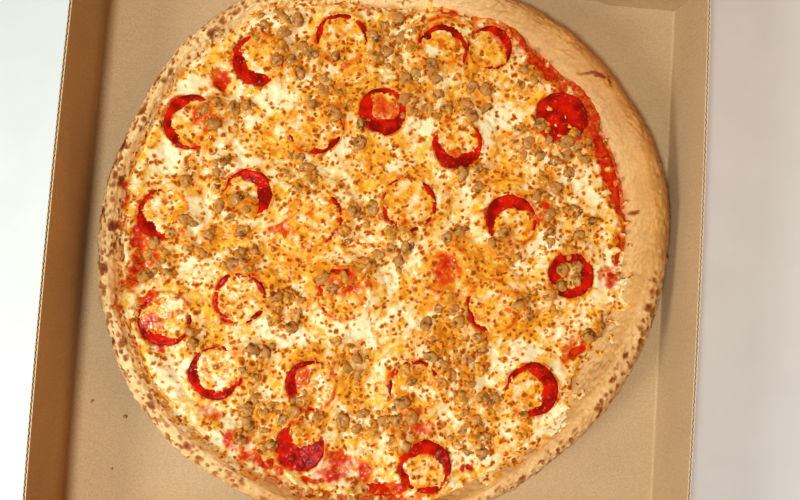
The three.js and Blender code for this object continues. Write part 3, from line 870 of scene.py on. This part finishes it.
def corrugated(u, v, place, flutes_along=None):
    """Two facings and, where a cut edge shows at v's end, the waved sheet between them. Each comes
    as points, faces and a mark that is 1 where the knife went through."""
    look = bpy.context.scene.box_look
    liner, pitch = look.liner / MM, look.pitch / MM
    if flutes_along:
        v = np.append(v[:-1], (v[-1] - CUT_SHARE * (v[-1] - v[0]), v[-1]))
    sheets = [(u, v, 0, liner), (u, v, BOARD - liner, BOARD)]
    if flutes_along:
        run = u if flutes_along == "v" else v
        steps = np.linspace(run[0], run[-1], int(8 * abs(run[-1] - run[0]) / pitch) + 1)
        crest = BOARD / 2 - liner - MIDDLE_HALF

        def wave(side):
            def depth(uu, vv):
                over = uu if flutes_along == "v" else vv
                return BOARD / 2 + crest * np.sin(2 * np.pi * over / pitch) + side * MIDDLE_HALF
            return depth

        lines = (steps, v) if flutes_along == "v" else (u, steps)
        sheets.append((*lines, wave(-1), wave(1)))
    parts = []
    for across, *rest in sheets:
        points, faces = slab(across, *rest, place)
        cut = np.zeros(len(points))
        if flutes_along:
            half = len(points) // 2
            cut[half - len(across):half] = 1
            cut[-len(across):] = 1
        parts.append((points, faces, cut))
    return parts


def merged(name, parts, body, slot, *nodes):
    """One piece of card from several sheets."""
    verts, faces = joined([part[:2] for part in parts])
    piece = build(name, verts, faces, {"cut": np.concatenate([p[2] for p in parts])}, shade=False)
    dressed(piece, body, kraft_corrugated_card, slot, *nodes)


def quarter_fold(distance, depth):
    """Outwards and onwards from a fold's centre, for a distance along card that turns a right angle
    there and goes on straight."""
    a = np.clip(distance / FOLD_ARC, 0, 1) * np.pi / 2
    straight = np.maximum(distance - FOLD_ARC, 0)
    return (FOLD + depth) * np.sin(a), (FOLD + depth) * np.cos(a) - straight


def tray_parts():
    """The tray's floor, then for each side a side wall, a cross wall and the two end tabs."""
    flat = INNER - FOLD
    parts = corrugated(np.linspace(-flat, flat, 3), np.linspace(-flat, flat, 3),
                       lambda u, v, d: (u, v, BOARD - d))
    straight = WALL_TOP - BOARD - FOLD
    up = [*np.linspace(0, FOLD_ARC, 6), *np.linspace(FOLD_ARC, FOLD_ARC + straight, 7)[1:]]
    reach = INNER - BOARD - CARD_PLAY
    for side in (-1, 1):
        def side_wall(u, v, d, side=side):
            out, on = quarter_fold(v, d)
            height = BOARD + FOLD - on
            bow = WALL_BOW * (height / WALL_TOP) * (1 - (u / OUTER) ** 2)
            return side * (flat + out + bow), side * u, height

        def cross_wall(u, v, d, side=side):
            out, on = quarter_fold(v, d)
            return -side * u, side * (flat + out), BOARD + FOLD - on

        parts += corrugated(np.linspace(-reach, reach, 25), up, side_wall, "v")
        parts += corrugated(np.linspace(-OUTER, OUTER, 3), up, cross_wall, "u")
        for end in (-1, 1):
            def tab(u, v, d, side=side, end=end):
                return side * u, end * (INNER - BOARD + d), v
            parts += tab_parts(tab)
    return parts


def tab_parts(place):
    """An end tab with its round lower corner: columns of card whose foot follows the corner."""
    tip = INNER - TAB_LENGTH
    corner = tip + TAB_CORNER * (1 - np.cos(np.linspace(0, 1, 7) * np.pi / 2))
    columns = np.array([*corner, *np.linspace(corner[-1], INNER - CARD_PLAY, 20)[1:]])

    def shaped(u, v, d):
        inside = np.clip(1 - (u - tip) / TAB_CORNER, 0, 1)
        foot = BOARD + GAP + TAB_CORNER * (1 - np.sqrt(np.clip(1 - inside ** 2, 0, 1)))
        return place(u, foot + v * (TAB_TOP - foot), d)

    return corrugated(columns, np.array([0.0, 0.5, 1.0]), shaped, "v")


def lid_spot(x, y, z):
    """A place on the shut lid, turned to where the open lid stands."""
    c, s = math.cos(LID_OPEN), math.sin(LID_OPEN)
    return x, HINGE[1] + y * c + z * s, HINGE[2] - y * s + z * c


def side_flap_depth(s):
    """How deep a side flap hangs at a distance from the hinge."""
    start, full, full_end, end = FLAP_ENDS
    rise = np.clip((s - start) / (full - start), 0, 1)
    fall = np.clip((end - s) / (end - full_end), 0, 1)
    return (LID_FLAP - FOLD) * np.minimum(rise, fall) ** 0.7


def front_flap_depth(x):
    """How deep the front flap hangs at a distance from its middle, with its round corners."""
    off = np.clip((np.abs(x) - (FRONT_FLAP_HALF - FLAP_CORNER)) / FLAP_CORNER, 0, 1)
    return LID_FLAP - FOLD - FLAP_CORNER * (1 - np.sqrt(1 - off ** 2))


def flap(depth, edge, put):
    """How a flap is set down: the first tenth of v goes round the fold, the rest hangs as deep as
    depth(u) says, and put(u, distance out) gives its place on the panel."""
    def place(u, v, d):
        hanging = FOLD_ARC + (v - FOLD_SHARE) / (1 - FOLD_SHARE) * depth(u)
        out, on = quarter_fold(np.where(v < FOLD_SHARE, v / FOLD_SHARE * FOLD_ARC, hanging), d)
        return lid_spot(*put(u, edge - FOLD - BOARD + out), on - FOLD)
    return place


def lid_parts():
    """The lid's panel, its two side flaps and its front flap."""
    parts = corrugated(
        np.linspace(-(LID_HALF - FOLD), LID_HALF - FOLD, 3),
        -np.linspace(LID_CREASE, LID_LENGTH - FOLD, 3), lid_spot,
    )
    share = np.array([*(np.linspace(0, 1, 6) * FOLD_SHARE), 0.4, 0.7, 1.0])
    along = np.linspace(FLAP_ENDS[0] + FLAP_PLAY, FLAP_ENDS[-1] - FLAP_PLAY, 60)
    for side in (-1, 1):
        place = flap(side_flap_depth, LID_HALF, lambda u, out, side=side: (side * out, -u))
        parts += corrugated(along, share, place, "v")
    along = np.linspace(-FRONT_FLAP_HALF, FRONT_FLAP_HALF, 61)
    return parts + corrugated(
        along, share, flap(front_flap_depth, LID_LENGTH, lambda u, out: (u, -out))
    )


class PIZZA_OT_tray(bpy.types.Operator):
    """Folds the corrugated tray"""

    bl_idname = "pizza.make_tray"
    bl_label = "Make tray"

    def execute(self, context):
        merged("tray_card", tray_parts(), "base", "card", "tray")
        return {"FINISHED"}


class PIZZA_OT_lid(bpy.types.Operator):
    """Folds the lid and the crease that joins it to the back wall"""

    bl_idname = "pizza.make_lid"
    bl_label = "Make lid"

    def execute(self, context):
        merged("lid_card", lid_parts(), "lid", "card", "lid")
        half = LID_HALF - FLAP_PLAY
        low = np.array((OUTER - 0.25, WALL_TOP - 1.2))
        knee = np.array((OUTER - 0.05, WALL_TOP + 0.35))
        far = np.array(lid_spot(0, -2.0, BOARD - 0.2)[1:])
        steps = np.linspace(0, 1, 9)[:, None]
        path = (1 - steps) ** 2 * low + 2 * steps * (1 - steps) * knee + steps ** 2 * far

        def crease(u, v, d):
            across, up = path[np.round(v).astype(int)].transpose(2, 0, 1)
            return u, across + d, up

        lines = np.linspace(-half, half, 30), np.arange(len(path))
        piece = build("lid_crease", *slab(*lines, -0.2, 0.15, crease))
        piece.data.materials.append(finish(kraft_corrugated_card))
        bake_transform(piece)
        return {"FINISHED"}


# ---- Food ----

def rim_rings(angle):
    """Distance out and height of each ring of the dough: from the middle of the underside, round
    the rim and back to the middle on top."""
    edge, width, height = outer_edge(angle), rim_width(angle), rim_height(angle)
    crown = edge - RIM_CROWN * width
    belly = RIM_BELLY * height
    level = 0 * angle
    rings = [(CENTRE_HOLE + level, level), (0.6 * crown, level)]
    for phi in np.radians(np.linspace(-88, 90, OUTER_RINGS)):
        lift = math.sin(phi)
        r = crown + (edge - crown) * max(math.cos(phi), 0) ** 0.8
        z = belly + lift * (belly if lift < 0 else height - belly)
        rings.append((r + RIM_WAVER * np.minimum(1, rim_swell(angle, 0)) * math.cos(phi),
                      z + rim_swell(angle, RIM_CROWN) * max(lift, 0) ** 3))
    for slope in np.linspace(0, 1, INNER_RINGS)[1:]:
        share = RIM_CROWN + slope * (1 - RIM_CROWN)
        fall = 0.5 - 0.5 * math.cos(math.pi * slope)
        rings.append((edge - share * width,
                      height - fall * (height - BASE) + rim_swell(angle, share) * (1 - fall)))
    rings += [(0.66 * (edge - width), BASE + level), (CENTRE_HOLE + level, BASE + level)]
    return np.array([r for r, _ in rings]), np.array([z for _, z in rings]) + DOUGH_Z


def rim_skin(angle, r, x, y, z):
    """How far the dough's skin stands out at each point, and its marks."""
    look = bpy.context.scene.pizza_look
    edge, width = outer_edge(angle), rim_width(angle)
    foot, across = edge - width, (edge - r) / width
    body = np.clip((z - DOUGH_Z) / 4, 0, 1) * smooth(0.0, 6.0, r - foot)
    turn = np.broadcast_to(angle, r.shape)
    blistered = 0.12 + 0.88 * smooth(-0.25, 0.5, -np.cos(turn + 0.35))
    outer = smooth(-8, 4, r - (edge - RIM_CROWN * width))
    blistered = np.maximum(blistered, 0.75 * facing(turn, -38, 22, 48) * outer)
    bump = 0.75 * fractal(x, y, z, 9, 21) + 0.36 * noise(x, y, z, 2.8, 31)
    step = np.hypot(np.diff(r.mean(1)), np.diff(z.mean(1)))
    along = np.concatenate([[0], np.cumsum(step)])[:, None]
    crease = (np.abs(noise(turn * RIM_LINE / 8, along / 2.4, 0, 1, 33))
              + 0.25 * np.abs(noise(x, y, z, 2.5, 34)))
    bump -= (1.3 * (1 - blistered) * smooth(0.3, 0.04, crease)
             * smooth(-0.3, 0.3, noise(x, y, z, 22, 35)))
    gate = (0.3 + 0.85 * blistered + 0.45 * noise(x, y, z, 15, 41)
            - 0.35 * smooth(0.3, 0.6, across))
    char, caps_with_painted_highlight = np.zeros(r.shape), np.zeros(r.shape)
    for size, least, most, seed in BLISTERS:
        fine = size < FINE_BLISTER
        away, mark = pores(turn, along, size, seed)
        away = away + 0.17 * size * noise(x, y, z, 0.4 * size, seed + 5)
        radius = least + (most - least) * mark
        grown = smooth(0.45, 0.7, gate - 0.35 * mark + (0.7 if fine else 0))
        ridge = np.exp(-((away - 1.3 * radius) / (0.14 * size)) ** 2)
        hollow = 1 - smooth(0.55 * radius, 1.15 * radius, away)
        bump += (look.scallop / MM) * grown * size / 7.5 * (0.9 * ridge - 0.9 * hollow)
        if fine:
            # Painted highlight: the small raised blisters are painted paler on top
            cap = 1 - smooth(0.6 * radius, 1.9 * radius, away)
            caps_with_painted_highlight = grown * cap * (mark > 0.72) * blistered
            bump += 0.45 * caps_with_painted_highlight
        else:
            spot = 1 - smooth(0.4 * radius, 1.35 * radius, away)
            char = np.maximum(char, grown * spot * (0.5 + 0.5 * mark))
    scorched = patch(x, y, SCORCHES, 1.3, 2.6, 5) * (z > DOUGH_Z + 5)
    bump -= 0.7 * scorched
    # Paler where blistered, which is the dough's own colour, and paler up the inner slope, which is
    # painted light lifting a slope that the lamps leave in shade; the small blisters' pale tops add
    # their painted highlight
    pale = (blistered * (0.62 + 0.4 * fractal(x, y, z, 12, 51))
            + (0.4 + 0.6 * blistered) * smooth(0.45, 1.0, across))
    pale = np.clip(pale + 0.45 * caps_with_painted_highlight, 0, 1) * smooth(DOUGH_Z + 4, DOUGH_Z + 14, z)
    reach = 3.4 + 2.6 * noise(x, y, 0, 9, 45)
    bare = np.maximum(0.25, sauce_bands(angle)) * (1 - smooth(0.2 * reach, reach, r - foot))
    # Painted shade: the rim is darkened at its top right
    painted_shade_top_right = facing(turn, 52, 10, 40)
    return bump * body, {
        "char": np.maximum(char, scorched) * body,
        "pale": pale,
        # Browner towards the outer edge, partly real browning and partly painted shade, plus the
        # painted shade at the top right; less brown where blistered
        "outward": 1.4 * smooth(0.42, 0.0, across) - 0.6 * blistered + 0.2 + 0.55 * painted_shade_top_right,
        "stained": bare * (0.8 + 0.6 * noise(x, y, z, 4, 46)),
    }


class PIZZA_OT_crust(bpy.types.Operator):
    """Bakes the dough: the rim with its bubbles, blisters and scorch marks, and the flat base"""

    bl_idname = "pizza.make_crust"
    bl_label = "Make crust"

    def execute(self, context):
        angle = np.arange(SEGMENTS) / SEGMENTS * 2 * np.pi
        r, z = rim_rings(angle)
        x, y = CENTRE[0] + r * np.cos(angle), CENTRE[1] + r * np.sin(angle)
        points = np.stack([x, y, z], -1)
        round_it = np.roll(points, -1, 1) - np.roll(points, 1, 1)
        normal = np.cross(round_it, np.gradient(points, axis=0))
        normal /= np.linalg.norm(normal, axis=-1, keepdims=True) + 1e-9
        bump, marks = rim_skin(angle, r, x, y, z)
        points += normal * bump[..., None]
        top = (len(r) - 1) * SEGMENTS
        faces = grid_faces(len(r), SEGMENTS, 0, True)
        faces += [list(range(SEGMENTS))[::-1], list(range(top, top + SEGMENTS))]
        piece = build("crust_dough", points.reshape(-1, 3), faces, marks)
        dressed(piece, "base", baked_wheat_dough, "crust", "crust")
        return {"FINISHED"}


def cheese_cover(x, y, facts, cheese, marks):
    """The cheese's height with each slice laid in it; marks what the slices' fat has coloured."""
    ragged = 3.0 * noise(x, y, 3, 8.0, 61) + 0.8 * noise(x, y, 5, 3.4, 62)
    strand = np.abs(noise(x, y, 8, 9.0, 63)) + 0.35 * np.abs(noise(x, y, 8, 3.0, 64))
    strand = 5 * smooth(0.1, 0.02, strand)
    crumpled = 0.5 + 2.0 * noise(x, y, 9, 6.0, 68)
    oily = 0.85 + 0.3 * noise(x, y, 2, 6, 67)
    film_marks = {
        "toast": 0.3,
        "red": 0.7 * smooth(0.05, 0.5, noise(x, y, 6, 5.0, 69)),
        "gold": 0.28 + 0.5 * noise(x, y, 7, 7.0, 70),
    }
    for (_, cx, cy, radius, low, lean), (share, way, run) in zip(facts, CHEESE_ON_SLICES):
        d = np.hypot(x - cx, y - cy)
        near = d < radius + 9
        inside = near & (d < radius + 0.3)
        turn = np.arctan2(y - cy, x - cx)
        curl = SLICE_CUP * (1 + 0.3 * np.cos(turn - lean)) * np.clip(d / radius, 0, 1) ** 2
        under, over = low + curl, low + SLICE + curl
        wx = cx + run * math.cos(math.radians(way))
        wy = cy + run * math.sin(math.radians(way))
        cover = share * radius - np.hypot(x - wx, y - wy) + ragged + strand
        if share == 0:
            cover = 5 * noise(x, y, 4, 5.5, 65) - 2.2
        lip = crumpled - 1.5 * (share == 0)
        cover = np.maximum(cover, d - radius + lip)
        film = over + 0.9 * np.sqrt(np.clip(cover / 3, 0, 1)) - 0.35
        on = np.where(cover > 0, film, np.minimum(under - 0.35, over + 1.4 * cover))
        bank = low + SLICE + SLICE_CUP - 0.7 + 0.8 * np.clip(lip, -0.6, 1) - 0.3 * (d - radius)
        beside = np.where(near, np.maximum(cheese, bank), cheese)
        cheese = np.where(inside, on, beside)
        oil = np.exp(-np.abs(d - radius) / 4.0) * near * oily
        marks["red"] = np.maximum(marks["red"], 0.8 * oil)
        for key, least in film_marks.items():
            marks[key] = np.where(inside, np.maximum(marks[key], least), marks[key])
    return cheese


def cheese_limit(angle):
    """The outline of the cheese's grid, well up the rim's inner slope."""
    return outer_edge(angle) - 0.54 * rim_width(angle)


def cheese_ground(x, y):
    """The ground under the cheese, how far inside its ragged edge each point lies, and creep, which
    is 1 at the left, where the cheese has crept up the rim."""
    r, angle = polar(x, y)
    spill = 0
    for degrees, half, distance in SPILLS:
        spill = spill + (distance + 3) * np.exp(-(turned(angle, degrees) / math.radians(half)) ** 2)
    creep = facing(angle, 187, 62, 95)
    edge = cheese_edge(angle) + spill + 2.8 + 8.5 * creep + 4.2 * fractal(x, y, 0, 12, 71)
    inside = edge - r + 1.6 * noise(x, y, 0, 3.4, 75)
    inside = inside + 14 * smooth(0.2, 0.5, noise(x, y, 0, 5.6, 77)) * smooth(-13, -4, inside)
    inside = np.minimum(inside, cheese_limit(angle) - r - 0.6)
    foot = outer_edge(angle) - rim_width(angle)
    bank = (2.6 + 3.2 * creep) * smooth(foot - 12 - 4 * creep, foot, r) * smooth(0, 5, inside)
    ground = np.maximum(np.maximum(SAUCE_TOP, crust_top(x, y)), SAUCE_TOP + bank)
    return ground, inside, creep


def topping_fields():
    """The cheese's grid, height and marks, and the crumbles' places with the ground under each."""
    look = bpy.context.scene.pizza_look
    dx, dy, border = disc_grid(CHEESE_CUTS, cheese_limit)
    x, y = dx + CENTRE[0], dy + CENTRE[1]
    ground, inside, creep = cheese_ground(x, y)
    dough = crust_top(x, y)
    film = 3.0 * (1 - np.exp(-np.clip(inside, 0, None) / 2.2)) - 0.5
    film = film * (1 - 0.6 * smooth(-3, 4, dough - SAUCE_TOP - 0.5))
    swell = (look.relief / MM) * (fractal(x, y, 0, 15, 81) + 0.85 * noise(x, y, 0, 5.5, 84)
                                  + 0.4 * noise(x, y, 0, 2.6, 85))
    film = np.where(inside > 0, film + swell * smooth(0, 6, inside), inside * 0.7 - 0.5)
    bare = (patch(x, y, BARE_PATCHES, 2.2, 5.0, 91)
            * smooth(0.12, -0.2, noise(x, y, 2, 4.0, 95) - 0.25))
    cheese = ground + film - 5.0 * bare * (dough < SAUCE_TOP + 1.5)
    red = np.maximum(patch(x, y, RED_PATCHES, 3.0, 7.0, 101) * 0.8,
                     patch(x, y, BARE_PATCHES, 3.0, 5.0, 91))
    pale = patch(x, y, PALE_PATCHES, 4.0, 7.0, 121)
    rich = patch(x, y, GOLD_PATCHES, 7.0, 12.0, 111)
    gold = 0.12 + 0.5 * rich - 0.8 * pale
    toast = (0.1 + 0.32 * rich - 0.7 * pale - 0.2 * red
             + (0.5 + 0.5 * creep) * smooth(5 + 2 * (1 - creep), 1, inside))
    for hx, hy, spread, _ in HANDFULS:
        rich = np.maximum(rich, 0.7 * np.exp(-((x - hx) ** 2 + (y - hy) ** 2) / spread ** 2))
    toast = np.maximum(toast, 0.12 + 0.3 * rich - 0.25 * pale)
    shows = 0.25 + 0.75 * sauce_bands(polar(x, y)[1])
    red = np.maximum(red, 0.9 * shows * np.exp(-np.clip(inside, 0, None) / 3.5))
    marks = {"red": red, "gold": gold, "toast": toast}
    facts = slice_facts()
    cheese = cheese_cover(x, y, facts, cheese, marks)
    random = seeded(SEED + 5)
    places = []
    soaked = np.zeros(x.shape)
    clinging = smooth(-0.5, 0.5, noise(x, y, 7, 3.5, 141) + 0.3)
    for cx, cy, radius in crumble_places():
        cover, twist, flat = next(random), next(random), next(random)
        away = np.hypot(x - cx, y - cy)
        spot = np.unravel_index(np.argmin(away), away.shape)
        if away[spot] > 2:
            continue
        level = max(cheese[spot], ground[spot])
        for _, sx, sy, sr, low, _ in facts:
            if math.hypot(cx - sx, cy - sy) < sr - 1:
                level = max(level, low + SLICE + 0.3)
        places.append((cx, cy, radius, level, cover, twist, flat))
        rise = (0.4 + 0.6 * cover) * (radius * CRUMBLE_FLAT)
        cling = rise * np.exp(-(away / (1.45 * radius)) ** 3) * clinging
        fat = np.exp(-(away / (1.6 * radius)) ** 4)
        close = away < 2.2 * radius
        cheese = np.where(close, cheese + cling, cheese)
        marks["toast"] = np.where(close, marks["toast"] + 0.5 * fat, marks["toast"])
        soaked = np.maximum(soaked, np.where(close, fat, 0))
    marks["gold"] = marks["gold"] + 0.16 * soaked
    return x, y, border, cheese, marks, places


class PIZZA_OT_toppings(bpy.types.Operator):
    """Spreads the sauce, melts the cheese over it and strews the sausage crumbles"""

    bl_idname = "pizza.make_toppings"
    bl_label = "Make sauce, cheese and sausage"

    def execute(self, context):
        dx, dy, border = disc_grid(SAUCE_CUTS, sauce_edge)
        x, y = dx + CENTRE[0], dy + CENTRE[1]
        pulp = 0.25 * fractal(x, y, 0, 6, 151) + 0.12 * noise(x, y, 0, 2.2, 155)
        sauce = sheet_on_grid("tomato_sauce", x, y, SAUCE_TOP + pulp, SAUCE_Z, border)
        dressed(sauce, "base", cooked_tomato_sauce, "sauce", "sauce")
        x, y, border, height, marks, places = topping_fields()
        top = np.maximum(height, SAUCE_Z + 0.4)
        cheese = sheet_on_grid("melted_cheese", x, y, top, SAUCE_Z + 0.2, border, marks)
        dressed(cheese, "base", melted_mozzarella, "cheese", "cheese")
        self.crumbles(places)
        return {"FINISHED"}

    def crumbles(self, places):
        """The crumbles on the cheese and on one slice, and a small bit beside each of the first."""
        _, cx, cy, _, low, _ = slice_facts()[TOPPED_SLICE]
        on_slice = [(cx + u, cy + v, CRUMBLE[0] * 1.1, low + SLICE + 0.6, 0.2, 0.3 + u / 9, 0.9)
                    for u, v in CRUMBLES_ON_SLICE]
        self.strew("sausage_crumbles", places + on_slice, CRUMBLE_CUTS)
        random = seeded(SEED + 9)
        bits = []
        for cx, cy, radius, level, *_ in places:
            angle, size, cover, twist, flat = (next(random) for _ in range(5))
            small = 1.2 + 1.1 * size
            away = radius + 0.7 * small
            bits.append((cx + away * math.cos(2 * math.pi * angle),
                         cy + away * math.sin(2 * math.pi * angle),
                         small, level - 0.1, cover, twist, flat))
        self.strew("sausage_bits", bits, BIT_CUTS)

    def strew(self, name, spots, cuts):
        """One piece of many lumps, each (x, y, radius, level, cover, twist, flatness)."""
        points, quads = ball_grid(cuts)
        parts, tone_and_painted_shade, veils = [], [], []
        for i, (cx, cy, radius, level, cover, twist, flat) in enumerate(spots):
            radius *= CRUMBLE_SHRINK
            half = radius * (0.7 + 0.2 * flat)
            radii = (radius * (0.92 + 0.2 * flat), radius * (1.08 - 0.2 * flat), half)
            middle = level + half * 0.16
            p, swell = lump(points, (cx, cy, middle), radii, 2 * math.pi * twist, 0.4, i)
            parts.append((p, quads))
            up = (p[:, 2] - middle) / half
            # Painted shade: darker low on each crumble and in its hollows, lighter on top; cover
            # adds a random darkening
            tone_and_painted_shade.append(0.4 * cover - 1.5 * swell - 0.7 * up + 0.36)
            veil = 0.56 + 0.8 * (cover - 0.5) - 0.7 * up + 0.7 * noise(*p.T, 3.5, 171)
            veils.append(0.85 * smooth(0.0, 0.5, veil))
        marks = {"shade": np.concatenate(tone_and_painted_shade), "veil": np.concatenate(veils)}
        dressed(build(name, *joined(parts), marks), "base", cooked_pork_sausage, "sausage")


class PIZZA_OT_pepperoni(bpy.types.Operator):
    """Lays the cupped pepperoni slices"""

    bl_idname = "pizza.make_pepperoni"
    bl_label = "Make pepperoni"

    def execute(self, context):
        for i, (name, cx, cy, radius, low, lean) in enumerate(slice_facts()):
            def outline(a, radius=radius, i=i):
                ragged = 0.02 * np.sin(3 * a + i) + 0.012 * np.sin(7 * a + 2 * i)
                return radius * (0.965 + ragged)
            dx, dy, border = disc_grid(SLICE_CUTS, outline)
            x, y = cx + dx, cy + dy
            share, turn = np.hypot(dx, dy) / radius, np.arctan2(dy, dx)
            curl = SLICE_CUP * (1 + 0.3 * np.cos(turn - lean)) * share ** 2
            loose = 0.9 if CHEESE_ON_SLICES[i][0] == 0 else 0.45
            wave = loose * fractal(x, y, 0, 9, 161 + i) * share
            wave += 0.22 * noise(x, y, 0, 3.2, 165 + i)
            rounding = 0.45 * smooth(0.9, 1.0, share)
            top = low + SLICE + curl + wave - rounding
            bottom = np.maximum(low + curl + 0.3 * wave + 0.5 * rounding, low)
            edge = {"edge": smooth(0.8, 0.99, share)}
            piece = sheet_on_grid(name + "_slice", x, y, top, bottom, border, edge)
            dressed(piece, "base", fried_pepperoni, "pepperoni", name)
        return {"FINISHED"}


class PIZZA_OT_crumbs(bpy.types.Operator):
    """Drops the few crumbs on the tray's floor"""

    bl_idname = "pizza.make_crumbs"
    bl_label = "Make crumbs"

    def execute(self, context):
        points, quads = ball_grid(CRUMB_CUTS)
        parts = []
        for i, (x, y, radius) in enumerate(FLOOR_CRUMBS):
            half = radius * 0.7
            p, _ = lump(points, (x, y, BOARD + half), (radius * 1.3, radius, half), i, 0.5, i)
            parts.append((p, quads))
        still = np.zeros(len(points) * len(parts))
        marks = {"char": still + 0.3, "pale": still, "outward": still, "stained": still}
        piece = build("floor_crumbs", *joined(parts), marks)
        dressed(piece, "base", baked_wheat_dough, "crust")
        return {"FINISHED"}


# ---- Stage ----

class PIZZA_OT_stage(bpy.types.Operator):
    """Sets the ground, the lights and the camera over the box"""

    bl_idname = "pizza.make_stage"
    bl_label = "Make stage"

    def execute(self, context):
        scene = context.scene
        look = scene.stage_look
        h = GROUND_HALF
        corners = [(-h, -h, 0), (h, -h, 0), (h, h, 0), (-h, h, 0)]
        ground = build("ground", corners, [[0, 1, 2, 3]], shade=False)
        ground.data.materials.append(finish(pale_ground))
        for key, place, size, colour in LIGHTS:
            self.light(scene, key + " light", place, size, getattr(look, key), colour)
        world = bpy.data.worlds.new("soft sky")
        world.use_nodes = True
        sky = world.node_tree.nodes["Background"]
        sky.inputs["Color"].default_value = (*linear(SKY), 1.0)
        sky.inputs["Strength"].default_value = look.fill
        scene.world = world
        scene.view_settings.view_transform = "Standard"
        self.camera(scene)
        return {"FINISHED"}

    def light(self, scene, name, place, size, power, colour):
        data = bpy.data.lights.new(name, "AREA")
        data.energy = power
        data.color = linear(colour)
        data.shape = "DISK"
        data.size = size
        lamp = bpy.data.objects.new(name, data)
        scene.collection.objects.link(lamp)
        lamp.location = place
        lamp.rotation_euler = (-Vector(place)).to_track_quat("-Z", "Y").to_euler()

    def camera(self, scene):
        data = bpy.data.cameras.new("camera")
        data.lens = LENS
        data.sensor_width = SENSOR
        data.clip_start = 0.01
        camera = bpy.data.objects.new("camera", data)
        scene.collection.objects.link(camera)
        right, up = Vector(CAMERA_RIGHT).normalized(), Vector(CAMERA_UP)
        back = right.cross(up).normalized()
        turn = Matrix((right, back.cross(right), back)).transposed()
        camera.matrix_world = Matrix.Translation(Vector(CAMERA_AT) * MM) @ turn.to_4x4()
        scene.camera = camera


class PIZZA_PT_panel(bpy.types.Panel):
    """The steps that build the boxed pizza"""

    bl_idname = "PIZZA_PT_panel"
    bl_label = "Boxed pizza"
    bl_space_type = "VIEW_3D"
    bl_region_type = "UI"
    bl_category = "Pizza"

    def draw(self, context):
        for step in STEPS:
            self.layout.operator(step.bl_idname)


STEPS = (PIZZA_OT_tray, PIZZA_OT_lid, PIZZA_OT_crust, PIZZA_OT_toppings, PIZZA_OT_pepperoni,
         PIZZA_OT_crumbs, PIZZA_OT_stage)
LOOKS = {"pizza_look": PizzaLook, "box_look": BoxLook, "stage_look": StageLook}


def register():
    for kind in (*LOOKS.values(), *STEPS, PIZZA_PT_panel):
        bpy.utils.register_class(kind)
    for name, kind in LOOKS.items():
        setattr(bpy.types.Scene, name, bpy.props.PointerProperty(type=kind))


def unregister():
    for name in LOOKS:
        delattr(bpy.types.Scene, name)
    for kind in reversed((*LOOKS.values(), *STEPS, PIZZA_PT_panel)):
        bpy.utils.unregister_class(kind)


def main():
    register()
    for step in STEPS:
        group, call = step.bl_idname.split(".")
        getattr(getattr(bpy.ops, group), call)()
    bpy.context.view_layer.update()


if __name__ == "__main__":
    main()
